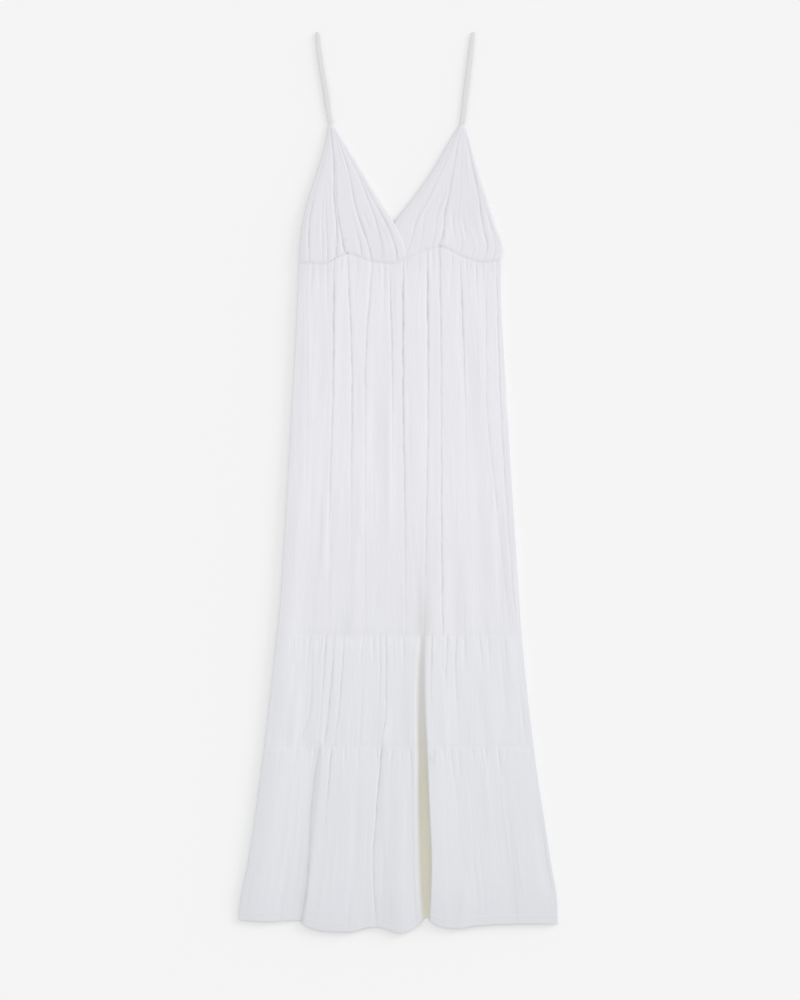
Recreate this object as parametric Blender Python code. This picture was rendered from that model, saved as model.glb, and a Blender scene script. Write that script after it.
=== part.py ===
"""A long white dress with thin straps, crossed gathered cups and a skirt in three tiers, laid flat on its back.

Metres, +Z up. +Y runs from the hem to the straps, and +X is to the right of someone who looks down on
the front. The origin is on the surface that the dress lies on, under the middle of its outline.

Every piece that a maker would cut is one closed wall of cloth. The back pieces lie flat on the surface,
with shallow creases pressed into their undersides. The front pieces lie on the back ones. Their cloth
stands up in ridges between crease lines that run down it, and a crease that is fully open reaches the back.
"""

import math

import bpy

# Cloth thickness, and the clearance between pieces.
FRONT_WALL = 0.0015
BACK_WALL = 0.0020
LAYER_GAP = 0.0003
SEAM_GAP = 0.0004
FRONT_REST = BACK_WALL + LAYER_GAP
OVER_A_CUP = FRONT_WALL + LAYER_GAP

# Side edges: the front's cloth turns down over the back's, which is cut narrower.
EDGE_TOP = 0.0017
EDGE_UNDER = 0.0002
EDGE_ROLL = 0.0065
EDGE_TURN = 0.0030
BACK_INSET = 0.0040

# Levels down the dress.
STRAP_FOLD_Y = 0.7200
CUP_POINT_Y = 0.5728
BAND_TOP_Y = 0.3850
BACK_WAIST_Y = 0.3500
TIER_2_Y = -0.2450
TIER_3_Y = -0.4220
BACK_HEM_Y = -0.6970

# Outline of the skirt, seen from above.
OUTLINE_COLUMNS = ("y", "left", "right")
SKIRT_OUTLINE = (
    (0.350, -0.1580, 0.1645),
    (0.290, -0.1605, 0.1652),
    (0.197, -0.1650, 0.1703),
    (0.005, -0.1758, 0.1818),
    (-0.187, -0.1875, 0.1941),
    (-0.245, -0.1934, 0.1981),
    (-0.422, -0.2131, 0.2168),
    (-0.619, -0.2390, 0.2448),
    (-0.690, -0.2525, 0.2550),
    (-0.720, -0.2555, 0.2555),
)

# The seam under the cups rises to a peak below the middle of each of them.
WAIST_COLUMNS = ("x", "y")
WAIST_SEAM = (
    (-0.170, 0.3500),
    (-0.121, 0.3480),
    (-0.083, 0.3640),
    (-0.040, 0.3510),
    (-0.016, 0.3480),
    (0.022, 0.3600),
    (0.068, 0.3750),
    (0.100, 0.3600),
    (0.137, 0.3500),
    (0.175, 0.3545),
)

# The front hem hangs lower under each broad fold than in the creases between them.
HEM_COLUMNS = ("x", "y")
FRONT_HEM = (
    (-0.256, -0.7000),
    (-0.207, -0.7020),
    (-0.158, -0.7000),
    (-0.149, -0.7085),
    (-0.119, -0.7170),
    (-0.080, -0.7185),
    (-0.045, -0.7110),
    (-0.034, -0.7105),
    (0.004, -0.7200),
    (0.025, -0.7130),
    (0.039, -0.7000),
    (0.046, -0.6950),
    (0.054, -0.7030),
    (0.072, -0.7110),
    (0.096, -0.7130),
    (0.121, -0.7090),
    (0.180, -0.7060),
    (0.256, -0.7055),
)

# Crease lines of the front tiers, left to right. The x places are at the tier's upper seam, half way
# down and at its lower edge; depth is 1 where the crease reaches the back; it runs from start to end,
# as shares of the tier's drop; width is how far from the line the cloth has risen; ridge is the share
# of the swell's height that the cloth on the line's right has.
CREASE_COLUMNS = ("x_top", "x_mid", "x_low", "depth", "start", "end", "width", "ridge")
TIER_1_CREASES = (
    (-0.1520, -0.1690, -0.1850, 0.35, 0.00, 0.35, 0.004, 1.0),
    (-0.1022, -0.1098, -0.1075, 0.70, 0.00, 0.97, 0.006, 1.0),
    (-0.0822, -0.0755, -0.0755, 0.63, 0.00, 0.50, 0.006, 1.0),
    (-0.0419, -0.0542, -0.0515, 0.59, 0.00, 0.95, 0.005, 1.0),
    (-0.0139, -0.0107, -0.0115, 0.49, 0.00, 0.38, 0.005, 1.0),
    (0.0077, 0.0069, 0.0109, 0.70, 0.00, 0.90, 0.007, 1.0),
    (0.0461, 0.0485, 0.0385, 0.59, 0.00, 1.30, 0.006, 1.0),
    (0.0669, 0.0685, 0.0757, 0.70, 0.00, 1.60, 0.007, 1.0),
    (0.0989, 0.1101, 0.1149, 0.59, 0.00, 0.45, 0.006, 1.0),
    (0.1325, 0.1469, 0.1629, 0.39, 0.12, 0.72, 0.006, 1.0),
)
TIER_2_CREASES = (
    (-0.1379, -0.1427, -0.1500, 0.30, 0.30, 1.30, 0.010, 1.0),
    (-0.1163, -0.1187, -0.1290, 0.40, 0.00, 0.60, 0.004, 1.0),
    (-0.1011, -0.1067, -0.1190, 0.65, 0.00, 1.30, 0.005, 1.0),
    (-0.0867, -0.0904, -0.1019, 0.50, 0.00, 1.10, 0.005, 1.0),
    (-0.0195, -0.0198, -0.0254, 0.60, 0.00, 1.30, 0.006, 1.0),
    (0.0349, 0.0314, 0.0317, 1.00, 0.00, 2.00, 0.006, 0.0),
    (0.0437, 0.0445, 0.0466, 1.00, 0.00, 2.00, 0.006, 1.0),
    (0.0760, 0.0745, 0.0740, 0.65, 0.00, 0.40, 0.006, 1.0),
    (0.0901, 0.0869, 0.0860, 0.45, 0.00, 0.50, 0.005, 1.0),
)
TIER_3_CREASES = (
    (-0.1240, -0.1395, -0.1539, 0.95, 0.00, 2.00, 0.006, 1.0),
    (-0.1046, -0.1123, -0.1219, 0.50, 0.00, 0.40, 0.005, 1.0),
    (-0.0254, -0.0403, -0.0371, 0.70, 0.00, 2.00, 0.014, 1.0),
    (0.0317, 0.0341, 0.0405, 1.00, 0.00, 2.00, 0.006, 0.0),
    (0.0466, 0.0517, 0.0533, 1.00, 0.00, 2.00, 0.006, 1.0),
    (0.0837, 0.0850, 0.0870, 0.40, 0.00, 0.28, 0.005, 1.0),
)

# A crease that starts below the seam fades in over this share of the drop, and each fades out from this
# share of its own length on.
CREASE_FADE_IN = 0.12
CREASE_FADE_FROM = 0.55

# Short gathers between those creases, by their place along the tier's upper seam. Each has its own depth
# and its own reach down from the seam.
GATHER_DEPTH = 0.72
GATHER_DEPTH_SPREAD = 0.18
GATHER_REACH = 0.066
GATHER_REACH_SPREAD = 0.048
GATHER_WIDTH = 0.004
TIER_1_GATHERS = (
    -0.1435, -0.1299, -0.1155, -0.0699, -0.0610, -0.0515, -0.0307, -0.0227, -0.0035, 0.0157,
    0.0245, 0.0349, 0.0557, 0.0781, 0.0877, 0.1085, 0.1165, 0.1245, 0.1421, 0.1530,
)
TIER_2_GATHERS = (
    -0.1790, -0.1650, -0.1243, -0.0771, -0.0643, -0.0515, -0.0371, -0.0035, 0.0109, 0.0253,
    0.0525, 0.0637, 0.1021, 0.1149, 0.1309, 0.1501, 0.1709, 0.1850,
)
TIER_3_GATHERS = (
    -0.1970, -0.1730, -0.1500, -0.0851, -0.0659, -0.0483, -0.0083, 0.0080, 0.0205, 0.0573,
    0.0685, 0.1005, 0.1181, 0.1389, 0.1597, 0.1821, 0.2010,
)

# Height of the cloth above where it lies flat, at places across the tier: at its upper seam, a little
# below it and at its lower edge.
SWELL_COLUMNS = ("x_top", "x_low", "top", "upper", "low")
UPPER_SHARE = 0.15
TIER_1_SWELLS = (
    (-0.155, -0.188, 0.0046, 0.0054, 0.0056),
    (-0.120, -0.150, 0.0038, 0.0042, 0.0038),
    (-0.090, -0.095, 0.0040, 0.0046, 0.0036),
    (-0.030, -0.030, 0.0038, 0.0043, 0.0036),
    (0.028, 0.028, 0.0042, 0.0048, 0.0045),
    (0.058, 0.056, 0.0040, 0.0045, 0.0050),
    (0.090, 0.095, 0.0040, 0.0045, 0.0045),
    (0.130, 0.140, 0.0038, 0.0041, 0.0040),
    (0.160, 0.190, 0.0037, 0.0040, 0.0040),
)
TIER_2_SWELLS = (
    (-0.188, -0.208, 0.0056, 0.0056, 0.0054),
    (-0.150, -0.150, 0.0030, 0.0032, 0.0028),
    (-0.110, -0.114, 0.0031, 0.0040, 0.0042),
    (-0.060, -0.065, 0.0033, 0.0042, 0.0048),
    (0.000, 0.000, 0.0036, 0.0046, 0.0054),
    (0.028, 0.025, 0.0046, 0.0055, 0.0062),
    (0.055, 0.060, 0.0054, 0.0058, 0.0060),
    (0.095, 0.100, 0.0046, 0.0048, 0.0050),
    (0.150, 0.160, 0.0040, 0.0041, 0.0042),
    (0.192, 0.210, 0.0039, 0.0040, 0.0041),
)
TIER_3_SWELLS = (
    (-0.208, -0.250, 0.0054, 0.0054, 0.0048),
    (-0.129, -0.160, 0.0026, 0.0026, 0.0020),
    (-0.119, -0.148, 0.0044, 0.0050, 0.0050),
    (-0.065, -0.090, 0.0048, 0.0056, 0.0050),
    (-0.030, -0.042, 0.0050, 0.0054, 0.0046),
    (-0.020, -0.032, 0.0054, 0.0056, 0.0044),
    (0.010, 0.005, 0.0058, 0.0068, 0.0062),
    (0.028, 0.034, 0.0062, 0.0070, 0.0060),
    (0.055, 0.062, 0.0062, 0.0066, 0.0054),
    (0.100, 0.110, 0.0052, 0.0050, 0.0044),
    (0.160, 0.180, 0.0044, 0.0043, 0.0037),
    (0.210, 0.250, 0.0042, 0.0041, 0.0035),
)

# Edges of the cups. The left cup lies over the right one where they cross.
CUP_COLUMNS = ("y", "left", "right")
LEFT_CUP_EDGES = (
    (0.5728, -0.1108, -0.1038),
    (0.5330, -0.1179, -0.0802),
    (0.4980, -0.1280, -0.0585),
    (0.4530, -0.1427, -0.0320),
    (0.4130, -0.1523, -0.0060),
    (0.3780, -0.1565, 0.0092),
    (0.3480, -0.1580, 0.0140),
)
RIGHT_CUP_EDGES = (
    (0.5728, 0.0998, 0.1068),
    (0.5330, 0.0762, 0.1176),
    (0.4980, 0.0562, 0.1276),
    (0.4530, 0.0248, 0.1421),
    (0.4130, -0.0055, 0.1545),
    (0.3720, -0.0185, 0.1677),
    (0.3540, -0.0230, 0.1640),
)

# Creases of the cups fan out from the strap. Across is the share of the way from the left edge to the
# right one, at the strap and at the waist seam.
CUP_CREASE_COLUMNS = ("across_top", "across_low", "depth", "start", "end", "width")
LEFT_CUP_CREASES = (
    (0.10, 0.09, 0.42, 0.50, 2.00, 0.004),
    (0.22, 0.19, 0.32, 0.72, 2.00, 0.004),
    (0.40, 0.34, 0.70, 0.02, 2.00, 0.006),
    (0.52, 0.42, 0.56, 0.35, 2.00, 0.004),
    (0.62, 0.53, 0.32, 0.70, 2.00, 0.004),
    (0.76, 0.70, 0.66, 0.08, 2.00, 0.007),
    (0.86, 0.80, 0.42, 0.45, 2.00, 0.005),
    (0.94, 0.92, 0.52, 0.55, 2.00, 0.004),
)
RIGHT_CUP_CREASES = (
    (0.10, 0.21, 0.35, 0.60, 2.00, 0.004),
    (0.26, 0.30, 0.56, 0.18, 2.00, 0.006),
    (0.36, 0.40, 0.35, 0.60, 2.00, 0.004),
    (0.50, 0.49, 0.70, 0.02, 2.00, 0.007),
    (0.62, 0.62, 0.32, 0.70, 2.00, 0.004),
    (0.72, 0.74, 0.28, 0.70, 2.00, 0.004),
    (0.80, 0.88, 0.59, 0.15, 2.00, 0.006),
    (0.92, 0.95, 0.35, 0.75, 2.00, 0.003),
)
CUP_SWELL_COLUMNS = ("place", "height")
CUP_SWELL_DOWN = ((0.00, 0.0008), (0.15, 0.0018), (0.45, 0.0032), (0.80, 0.0037), (1.00, 0.0040))
CUP_EDGE_ROLL = 0.0060
STRAP_COVER = 0.10
CROSSING_TOP_Y = 0.4600
CROSSING_RAMP_Y = 0.0180
CROSSING_MARGIN = 0.0090
CROSSING_RAMP_X = 0.0100

# Straps: a flat tube of cloth that runs up from the cup, folds over and runs back down to the back band.
# Its widths are at shares of the way up from the cup to the fold.
STRAP_WIDTHS = ((0.0, 0.0074), (0.3, 0.0086), (0.7, 0.0080), (1.0, 0.0058))
STRAP_THICK = 0.0018
STRAP_COLUMNS = ("x", "y")
LEFT_STRAP_LINE = ((-0.1073, 0.5734), (-0.1100, 0.5880), (-0.1166, 0.6320), (-0.1251, 0.6830), (-0.1290, 0.7200))
RIGHT_STRAP_LINE = ((0.1033, 0.5734), (0.1050, 0.5880), (0.1101, 0.6320), (0.1162, 0.6830), (0.1206, 0.7200))
LEFT_STRAP_ON_BAND_X = -0.0940
RIGHT_STRAP_ON_BAND_X = 0.0920
STRAP_STEPS = 10
STRAP_TURN_STEPS = 6

# Creases pressed into the underside of the back pieces.
BACK_CREASE_DEPTH = 0.0008
BACK_DEPTH_SPREAD = 0.0002
BACK_CREASE_WIDTH = 0.0032
BACK_MARGIN = 0.02
BACK_REACH_SPREAD = 0.5
BACK_TIER_1_CREASES = 20
BACK_TIER_2_CREASES = 18
BACK_TIER_3_CREASES = 16
BAND_GATHERS = 26

# Rows down each piece, as shares of its drop.
TIER_1_ROWS = (0.0, 0.02, 0.07, 0.16, 0.30, 0.46, 0.62, 0.80, 1.0)
TIER_2_ROWS = (0.0, 0.08, 0.28, 0.55, 0.80, 1.0)
TIER_3_ROWS = (0.0, 0.06, 0.20, 0.40, 0.62, 0.84, 1.0)
CUP_ROWS = (0.0, 0.08, 0.22, 0.38, 0.54, 0.62, 0.70, 0.78, 0.88, 1.0)
BACK_TIER_1_ROWS = (0.0, 0.06, 0.22, 0.48, 0.76, 1.0)
BACK_TIER_ROWS = (0.0, 0.20, 0.55, 1.0)
BAND_ROWS = (0.0, 0.5, 1.0)

# How far creases stray from even spacing, as a share of their pitch.
UNEVEN_SHARE = 0.27
GOLDEN_ANGLE = 2.4

# Sampling across a ridge.
NARROW_RIDGE = 0.022
NARROW_STEPS = (0.30, 0.70)
SHOULDER_MOST = 0.40
SHOULDER_FOOT = 0.35
DOME = 0.12

WHITE_CLOTH = (0.80, 0.80, 0.83, 1.0)
CLOTH_ROUGHNESS = 0.90


def eased(share):
    """A share from 0 to 1, with a gentle start and end."""
    share = min(max(share, 0.0), 1.0)
    return share * share * (3.0 - 2.0 * share)


def mixed(first, second, share):
    return first + (second - first) * share


def varied(index, start):
    """A value from -1 to 1 that changes unevenly from one index to the next."""
    return math.sin(GOLDEN_ANGLE * index + start)


def arc_through(top, mid, low, down):
    """A parabola through three values: at the top, half way down and at the bottom."""
    return top * (1 - down) * (1 - 2 * down) + mid * 4 * down * (1 - down) + low * down * (2 * down - 1)


def slope_at(points, index):
    """The slope of a smooth curve at one of its points: level where the points turn back."""
    steps = [
        (points[k + 1][1] - points[k][1]) / (points[k + 1][0] - points[k][0])
        for k in (index - 1, index)
        if 0 <= k < len(points) - 1
    ]
    if len(steps) == 1:
        return steps[0]
    if steps[0] * steps[1] <= 0:
        return 0.0
    return 2 * steps[0] * steps[1] / (steps[0] + steps[1])


def through(points, place):
    """The value at a place on a smooth curve through (place, value) points, with no overshoot."""
    place = min(max(place, points[0][0]), points[-1][0])
    index = max(k for k in range(len(points) - 1) if points[k][0] <= place)
    start, end = points[index], points[index + 1]
    span = end[0] - start[0]
    t = (place - start[0]) / span
    return (
        start[1] * (2 * t**3 - 3 * t**2 + 1)
        + slope_at(points, index) * span * (t**3 - 2 * t**2 + t)
        + end[1] * (3 * t**2 - 2 * t**3)
        + slope_at(points, index + 1) * span * (t**3 - t**2)
    )


def edge_curve(rows, column):
    """(y, x) points of one side of an outline table, from the lowest y up."""
    return sorted((row[0], row[column]) for row in rows)


def crease_opening(depth, start, end, down):
    """How far a crease is open at a share down the piece. It fades in unless it starts in the seam."""
    fade_in = 1.0 if start == 0.0 else eased((down - start) / CREASE_FADE_IN)
    fade_from = mixed(start, end, CREASE_FADE_FROM)
    fade_out = 1.0 - eased((down - fade_from) / (end - fade_from))
    return depth * fade_in * fade_out


def gather_opening(index, down, drop):
    """A short gather: deep at the seam and gone a few centimetres below it."""
    reach = GATHER_REACH + GATHER_REACH_SPREAD * varied(index, 0.7)
    depth = GATHER_DEPTH + GATHER_DEPTH_SPREAD * varied(index, 2.0)
    return depth * (1.0 - eased(down * drop / reach))


class Ridges:
    """Cloth that stands in ridges between lines. A line has a place and an opening in each row."""

    def __init__(self, lines, swell, edge_height, edge_roll):
        self.lines = lines
        self.swell = swell
        self.edge_height = edge_height
        self.edge_roll = edge_roll
        middle = [line["place"](0.5) for line in lines]
        self.narrow = [b - a < NARROW_RIDGE for a, b in zip(middle, middle[1:])]

    def row(self, down):
        """(place, height, slope) across the cloth in one row."""
        places = [line["place"](down) for line in self.lines]
        crests = [
            self.swell((a + b) / 2, down) * line["ridge"]
            for a, b, line in zip(places, places[1:], self.lines)
        ]
        heights = [self.edge_height]
        for left, right, line in zip(crests, crests[1:], self.lines[1:]):
            heights.append((left + right) / 2 * (1.0 - line["open"](down)))
        heights.append(self.edge_height)
        found = [(places[0], heights[0], 0.0)]
        for k, crest in enumerate(crests):
            span = places[k + 1] - places[k]
            left = min(self.width(k), SHOULDER_MOST * span)
            right = min(self.width(k + 1), SHOULDER_MOST * span)
            for share in self.steps(k, span, left, right):
                at = share * span
                height, slope = self.profile(at, span, crest, heights[k], heights[k + 1], left, right)
                found.append((places[k] + at, height, slope))
            found.append((places[k + 1], heights[k + 1], 0.0))
        return found

    def width(self, index):
        inner = 0 < index < len(self.lines) - 1
        return self.lines[index]["width"] if inner else self.edge_roll

    def steps(self, index, span, left, right):
        """Where a ridge is sampled, as shares of its width."""
        if self.narrow[index]:
            return NARROW_STEPS
        left_foot = EDGE_TURN if index == 0 else SHOULDER_FOOT * left
        right_foot = EDGE_TURN if index == len(self.lines) - 2 else SHOULDER_FOOT * right
        return (left_foot / span, left / span, 0.5, 1 - right / span, 1 - right_foot / span)

    @staticmethod
    def profile(at, span, crest, left_height, right_height, left, right):
        """Height and slope inside a ridge: steep beside its creases, and gently domed between them."""
        domed = crest * (1.0 - DOME * (2 * at / span - 1) ** 2)
        if at < left:
            short = 1.0 - at / left
            return domed - (domed - left_height) * short**2, 2 * (domed - left_height) * short / left
        if span - at < right:
            short = 1.0 - (span - at) / right
            return domed - (domed - right_height) * short**2, 2 * (domed - right_height) * short / right
        return domed, 0.0


def swell_across(rows):
    """A function that gives the crest height at a place and a share down a tier."""

    def height(place, down):
        knots = [(mixed(row[0], row[1], down), row[2:]) for row in rows]
        index = max([k for k in range(len(knots) - 1) if knots[k][0] <= place], default=0)
        levels = [
            through(((0.0, top), (UPPER_SHARE, upper), (1.0, low)), down)
            for _, (top, upper, low) in knots[index : index + 2]
        ]
        return mixed(*levels, eased((place - knots[index][0]) / (knots[index + 1][0] - knots[index][0])))

    return height


def tier_lines(creases, gathers, top_y, low_y):
    """Every line down a front tier, from its left edge to its right one."""
    left, right = edge_curve(SKIRT_OUTLINE, 1), edge_curve(SKIRT_OUTLINE, 2)
    main = [{"place": lambda down: through(left, mixed(top_y, low_y, down)), "ridge": 1.0}]
    for x_top, x_mid, x_low, depth, start, end, width, ridge in creases:
        main.append({
            "place": lambda down, x=(x_top, x_mid, x_low): arc_through(*x, down),
            "open": lambda down, c=(depth, start, end): crease_opening(*c, down),
            "width": width,
            "ridge": ridge,
        })
    main.append({"place": lambda down: through(right, mixed(top_y, low_y, down))})
    tops = [line["place"](0.0) for line in main]
    lines = list(main)
    for index, x in enumerate(gathers):
        after = next(k for k, top in enumerate(tops) if top > x)
        share = (x - tops[after - 1]) / (tops[after] - tops[after - 1])
        lines.append({
            "place": lambda down, a=main[after - 1]["place"], b=main[after]["place"], s=share: mixed(
                a(down), b(down), s
            ),
            "open": lambda down, i=index: gather_opening(i, down, top_y - low_y),
            "width": GATHER_WIDTH,
            "ridge": 1.0,
        })
    return sorted(lines, key=lambda line: line["place"](0.0))


def wall(name, top, under):
    """One closed piece of cloth from rows of top points and the rows of points under them."""
    across, rows = len(top[0]), len(top)
    points = [p for row in top for p in row] + [p for row in under for p in row]
    below = across * rows
    faces = []
    for r in range(rows - 1):
        for c in range(across - 1):
            a, b = r * across + c, (r + 1) * across + c
            faces += [(a, b, b + 1), (a, b + 1, a + 1)]
            faces += [(below + a, below + b + 1, below + b), (below + a, below + a + 1, below + b + 1)]
    rim = [c for c in range(across - 1)]
    rim += [r * across + across - 1 for r in range(rows - 1)]
    rim += [(rows - 1) * across + c for c in range(across - 1, 0, -1)]
    rim += [r * across for r in range(rows - 1, 0, -1)]
    for a, b in zip(rim, rim[1:] + rim[:1]):
        faces += [(a, b, below + b), (a, below + b, below + a)]
    return add_object(name, points, faces)


def add_object(name, points, faces):
    mesh = bpy.data.meshes.new(name)
    mesh.from_pydata(points, [], faces)
    mesh.validate()
    mesh.shade_smooth()
    made = bpy.data.objects.new(name, mesh)
    bpy.context.scene.collection.objects.link(made)
    made.data.materials.append(cloth_material(name))
    return made


def cloth_material(name):
    """Matt white woven cloth."""
    made = bpy.data.materials.new(f"{name}_cloth")
    made.use_nodes = True
    shader = made.node_tree.nodes["Principled BSDF"]
    shader.inputs["Base Color"].default_value = WHITE_CLOTH
    shader.inputs["Roughness"].default_value = CLOTH_ROUGHNESS
    shader.inputs["Metallic"].default_value = 0.0
    return made


def wall_under(z_top, slope, lowest):
    """The underside of a wall: as thick across a slope as on the flat, and no lower than what it lies on."""
    return max(lowest, z_top - FRONT_WALL * math.sqrt(1.0 + slope**2))


def front_tier(name, creases, gathers, swells, rows, top_edge, low_edge):
    """A front tier between two edges, each a function that gives y at an x."""
    top_y, low_y = top_edge(0.0), low_edge(0.0)
    flat_top = FRONT_REST + FRONT_WALL
    ridges = Ridges(
        tier_lines(creases, gathers, top_y, low_y), swell_across(swells), EDGE_TOP - flat_top, EDGE_ROLL
    )
    first, last = ridges.row(0.0), ridges.row(1.0)
    top, under = [], []
    for down in rows:
        section = ridges.row(down)
        top.append([])
        under.append([])
        for column, (x, height, slope) in enumerate(section):
            y = mixed(top_edge(first[column][0]), low_edge(last[column][0]), down)
            z = flat_top + height
            at_edge = column in (0, len(section) - 1)
            lowest = EDGE_UNDER if at_edge else FRONT_REST
            top[-1].append((x, y, z))
            under[-1].append((x, y, wall_under(z, slope, lowest)))
    return wall(name, top, under)


def waist_y(x):
    return through(WAIST_SEAM, x)


def tier_1_front():
    return front_tier(
        "tier_1_front", TIER_1_CREASES, TIER_1_GATHERS, TIER_1_SWELLS, TIER_1_ROWS,
        lambda x: waist_y(x) - SEAM_GAP / 2, lambda x: TIER_2_Y + SEAM_GAP / 2,
    )


def tier_2_front():
    return front_tier(
        "tier_2_front", TIER_2_CREASES, TIER_2_GATHERS, TIER_2_SWELLS, TIER_2_ROWS,
        lambda x: TIER_2_Y - SEAM_GAP / 2, lambda x: TIER_3_Y + SEAM_GAP / 2,
    )


def tier_3_front():
    return front_tier(
        "tier_3_front", TIER_3_CREASES, TIER_3_GATHERS, TIER_3_SWELLS, TIER_3_ROWS,
        lambda x: TIER_3_Y - SEAM_GAP / 2, lambda x: through(FRONT_HEM, x),
    )


def cup_lines(creases):
    """Every line down a cup. Its places are shares of the way across."""
    lines = [{"place": lambda down: 0.0, "ridge": 1.0}]
    for across_top, across_low, depth, start, end, width in creases:
        lines.append({
            "place": lambda down, a=across_top, b=across_low: mixed(a, b, down),
            "open": lambda down, c=(depth, start, end): crease_opening(*c, down),
            "width": width,
            "ridge": 1.0,
        })
    lines.append({"place": lambda down: 1.0})
    return lines


def cup_section(lines, down, breadth):
    """(share across, height, slope) of one row of a cup, worked out in metres across its breadth."""
    scaled = [dict(line, place=lambda d, p=line["place"]: p(d) * breadth) for line in lines]
    ridges = Ridges(
        scaled, lambda place, d: through(CUP_SWELL_DOWN, d), EDGE_TOP - FRONT_REST - FRONT_WALL, CUP_EDGE_ROLL
    )
    ridges.narrow = [True] * (len(lines) - 1)
    return [(place / breadth, height, slope) for place, height, slope in ridges.row(down)]


def cup(name, edges, creases, lift, fullness):
    """A cup from its strap to the waist seam, with its lift and its share of full height at an x and y."""
    left, right = edge_curve(edges, 1), edge_curve(edges, 2)
    low_left, low_right = left[0][1], right[0][1]
    lines = cup_lines(creases)
    top, under = [], []
    for down in CUP_ROWS:
        left_y = mixed(CUP_POINT_Y, waist_y(low_left) + SEAM_GAP / 2, down)
        right_y = mixed(CUP_POINT_Y, waist_y(low_right) + SEAM_GAP / 2, down)
        left_x, right_x = through(left, left_y), through(right, right_y)
        section = cup_section(lines, down, right_x - left_x)
        top.append([])
        under.append([])
        for column, (across, height, slope) in enumerate(section):
            x = mixed(left_x, right_x, across)
            seam_y = waist_y(mixed(low_left, low_right, across)) + SEAM_GAP / 2
            straight_y = mixed(waist_y(low_left), waist_y(low_right), across) + SEAM_GAP / 2
            y = mixed(left_y, right_y, across) + (seam_y - straight_y) * down**2
            rest = FRONT_REST + lift(x, y)
            z = rest + FRONT_WALL + height * fullness(x, y)
            at_edge = column in (0, len(section) - 1)
            over_back = down < STRAP_COVER or y < BAND_TOP_Y + BACK_INSET or rest > FRONT_REST
            if at_edge and over_back:
                z = rest + FRONT_WALL
            lowest = EDGE_UNDER if at_edge and not over_back else rest
            top[-1].append((x, y, z))
            under[-1].append((x, y, wall_under(z, slope, lowest)))
    return wall(name, top, under)


def over_the_right_cup(x, y):
    """How far the left cup is raised, where it crosses the right one."""
    edge = through(edge_curve(RIGHT_CUP_EDGES, 1), y) - CROSSING_MARGIN
    return OVER_A_CUP * eased((x - edge) / CROSSING_RAMP_X + 1) * eased((CROSSING_TOP_Y - y) / CROSSING_RAMP_Y)


def flat_under_the_left_cup(x, y):
    """The right cup's share of its full height: none where the left one lies on it."""
    edge = through(edge_curve(LEFT_CUP_EDGES, 2), y) + CROSSING_MARGIN
    return max(eased((x - edge) / CROSSING_RAMP_X), eased((y - CROSSING_TOP_Y) / CROSSING_RAMP_Y))


def cup_left():
    return cup("cup_left", LEFT_CUP_EDGES, LEFT_CUP_CREASES, over_the_right_cup, lambda x, y: 1.0)


def cup_right():
    return cup("cup_right", RIGHT_CUP_EDGES, RIGHT_CUP_CREASES, lambda x, y: 0.0, flat_under_the_left_cup)


def uneven_places(count, first, last, seed):
    """Places from first to last, unevenly spaced and never crossing."""
    pitch = (last - first) / count
    return [first + pitch * (k + 0.5 + UNEVEN_SHARE * varied(k, seed)) for k in range(count)]


def back_piece(name, top_y, low_y, rows, count, seed, reach):
    """A back piece: flat on top, with creases pressed up into its underside from the seam above it."""
    left, right = edge_curve(SKIRT_OUTLINE, 1), edge_curve(SKIRT_OUTLINE, 2)
    shares = uneven_places(count, BACK_MARGIN, 1.0 - BACK_MARGIN, seed)
    top, under = [], []
    for down in rows:
        y = mixed(top_y, low_y, down)
        left_x, right_x = through(left, y) + BACK_INSET, through(right, y) - BACK_INSET
        places = [(left_x, 0.0)]
        for k, share in enumerate(shares):
            x = mixed(left_x, right_x, share)
            fade = 1.0 - eased(down / (reach * (1.0 + BACK_REACH_SPREAD * varied(k, seed + 1.0))))
            depth = (BACK_CREASE_DEPTH + BACK_DEPTH_SPREAD * varied(k, seed + 2.0)) * fade
            places += [(x - BACK_CREASE_WIDTH, 0.0), (x, depth), (x + BACK_CREASE_WIDTH, 0.0)]
        places.append((right_x, 0.0))
        top.append([(x, y, BACK_WALL) for x, _ in places])
        under.append([(x, y, z) for x, z in places])
    return wall(name, top, under)


def back_band():
    """The elastic band across the back, which the straps are sewn to."""
    return back_piece(
        "back_band", BAND_TOP_Y, BACK_WAIST_Y + SEAM_GAP / 2, BAND_ROWS, BAND_GATHERS, 0.4, 4.0
    )


def tier_1_back():
    return back_piece(
        "tier_1_back", BACK_WAIST_Y - SEAM_GAP / 2, TIER_2_Y + SEAM_GAP / 2,
        BACK_TIER_1_ROWS, BACK_TIER_1_CREASES, 1.1, 1.0,
    )


def tier_2_back():
    return back_piece(
        "tier_2_back", TIER_2_Y - SEAM_GAP / 2, TIER_3_Y + SEAM_GAP / 2,
        BACK_TIER_ROWS, BACK_TIER_2_CREASES, 2.6, 1.0,
    )


def tier_3_back():
    return back_piece(
        "tier_3_back", TIER_3_Y - SEAM_GAP / 2, BACK_HEM_Y,
        BACK_TIER_ROWS, BACK_TIER_3_CREASES, 4.2, 0.9,
    )


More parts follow.
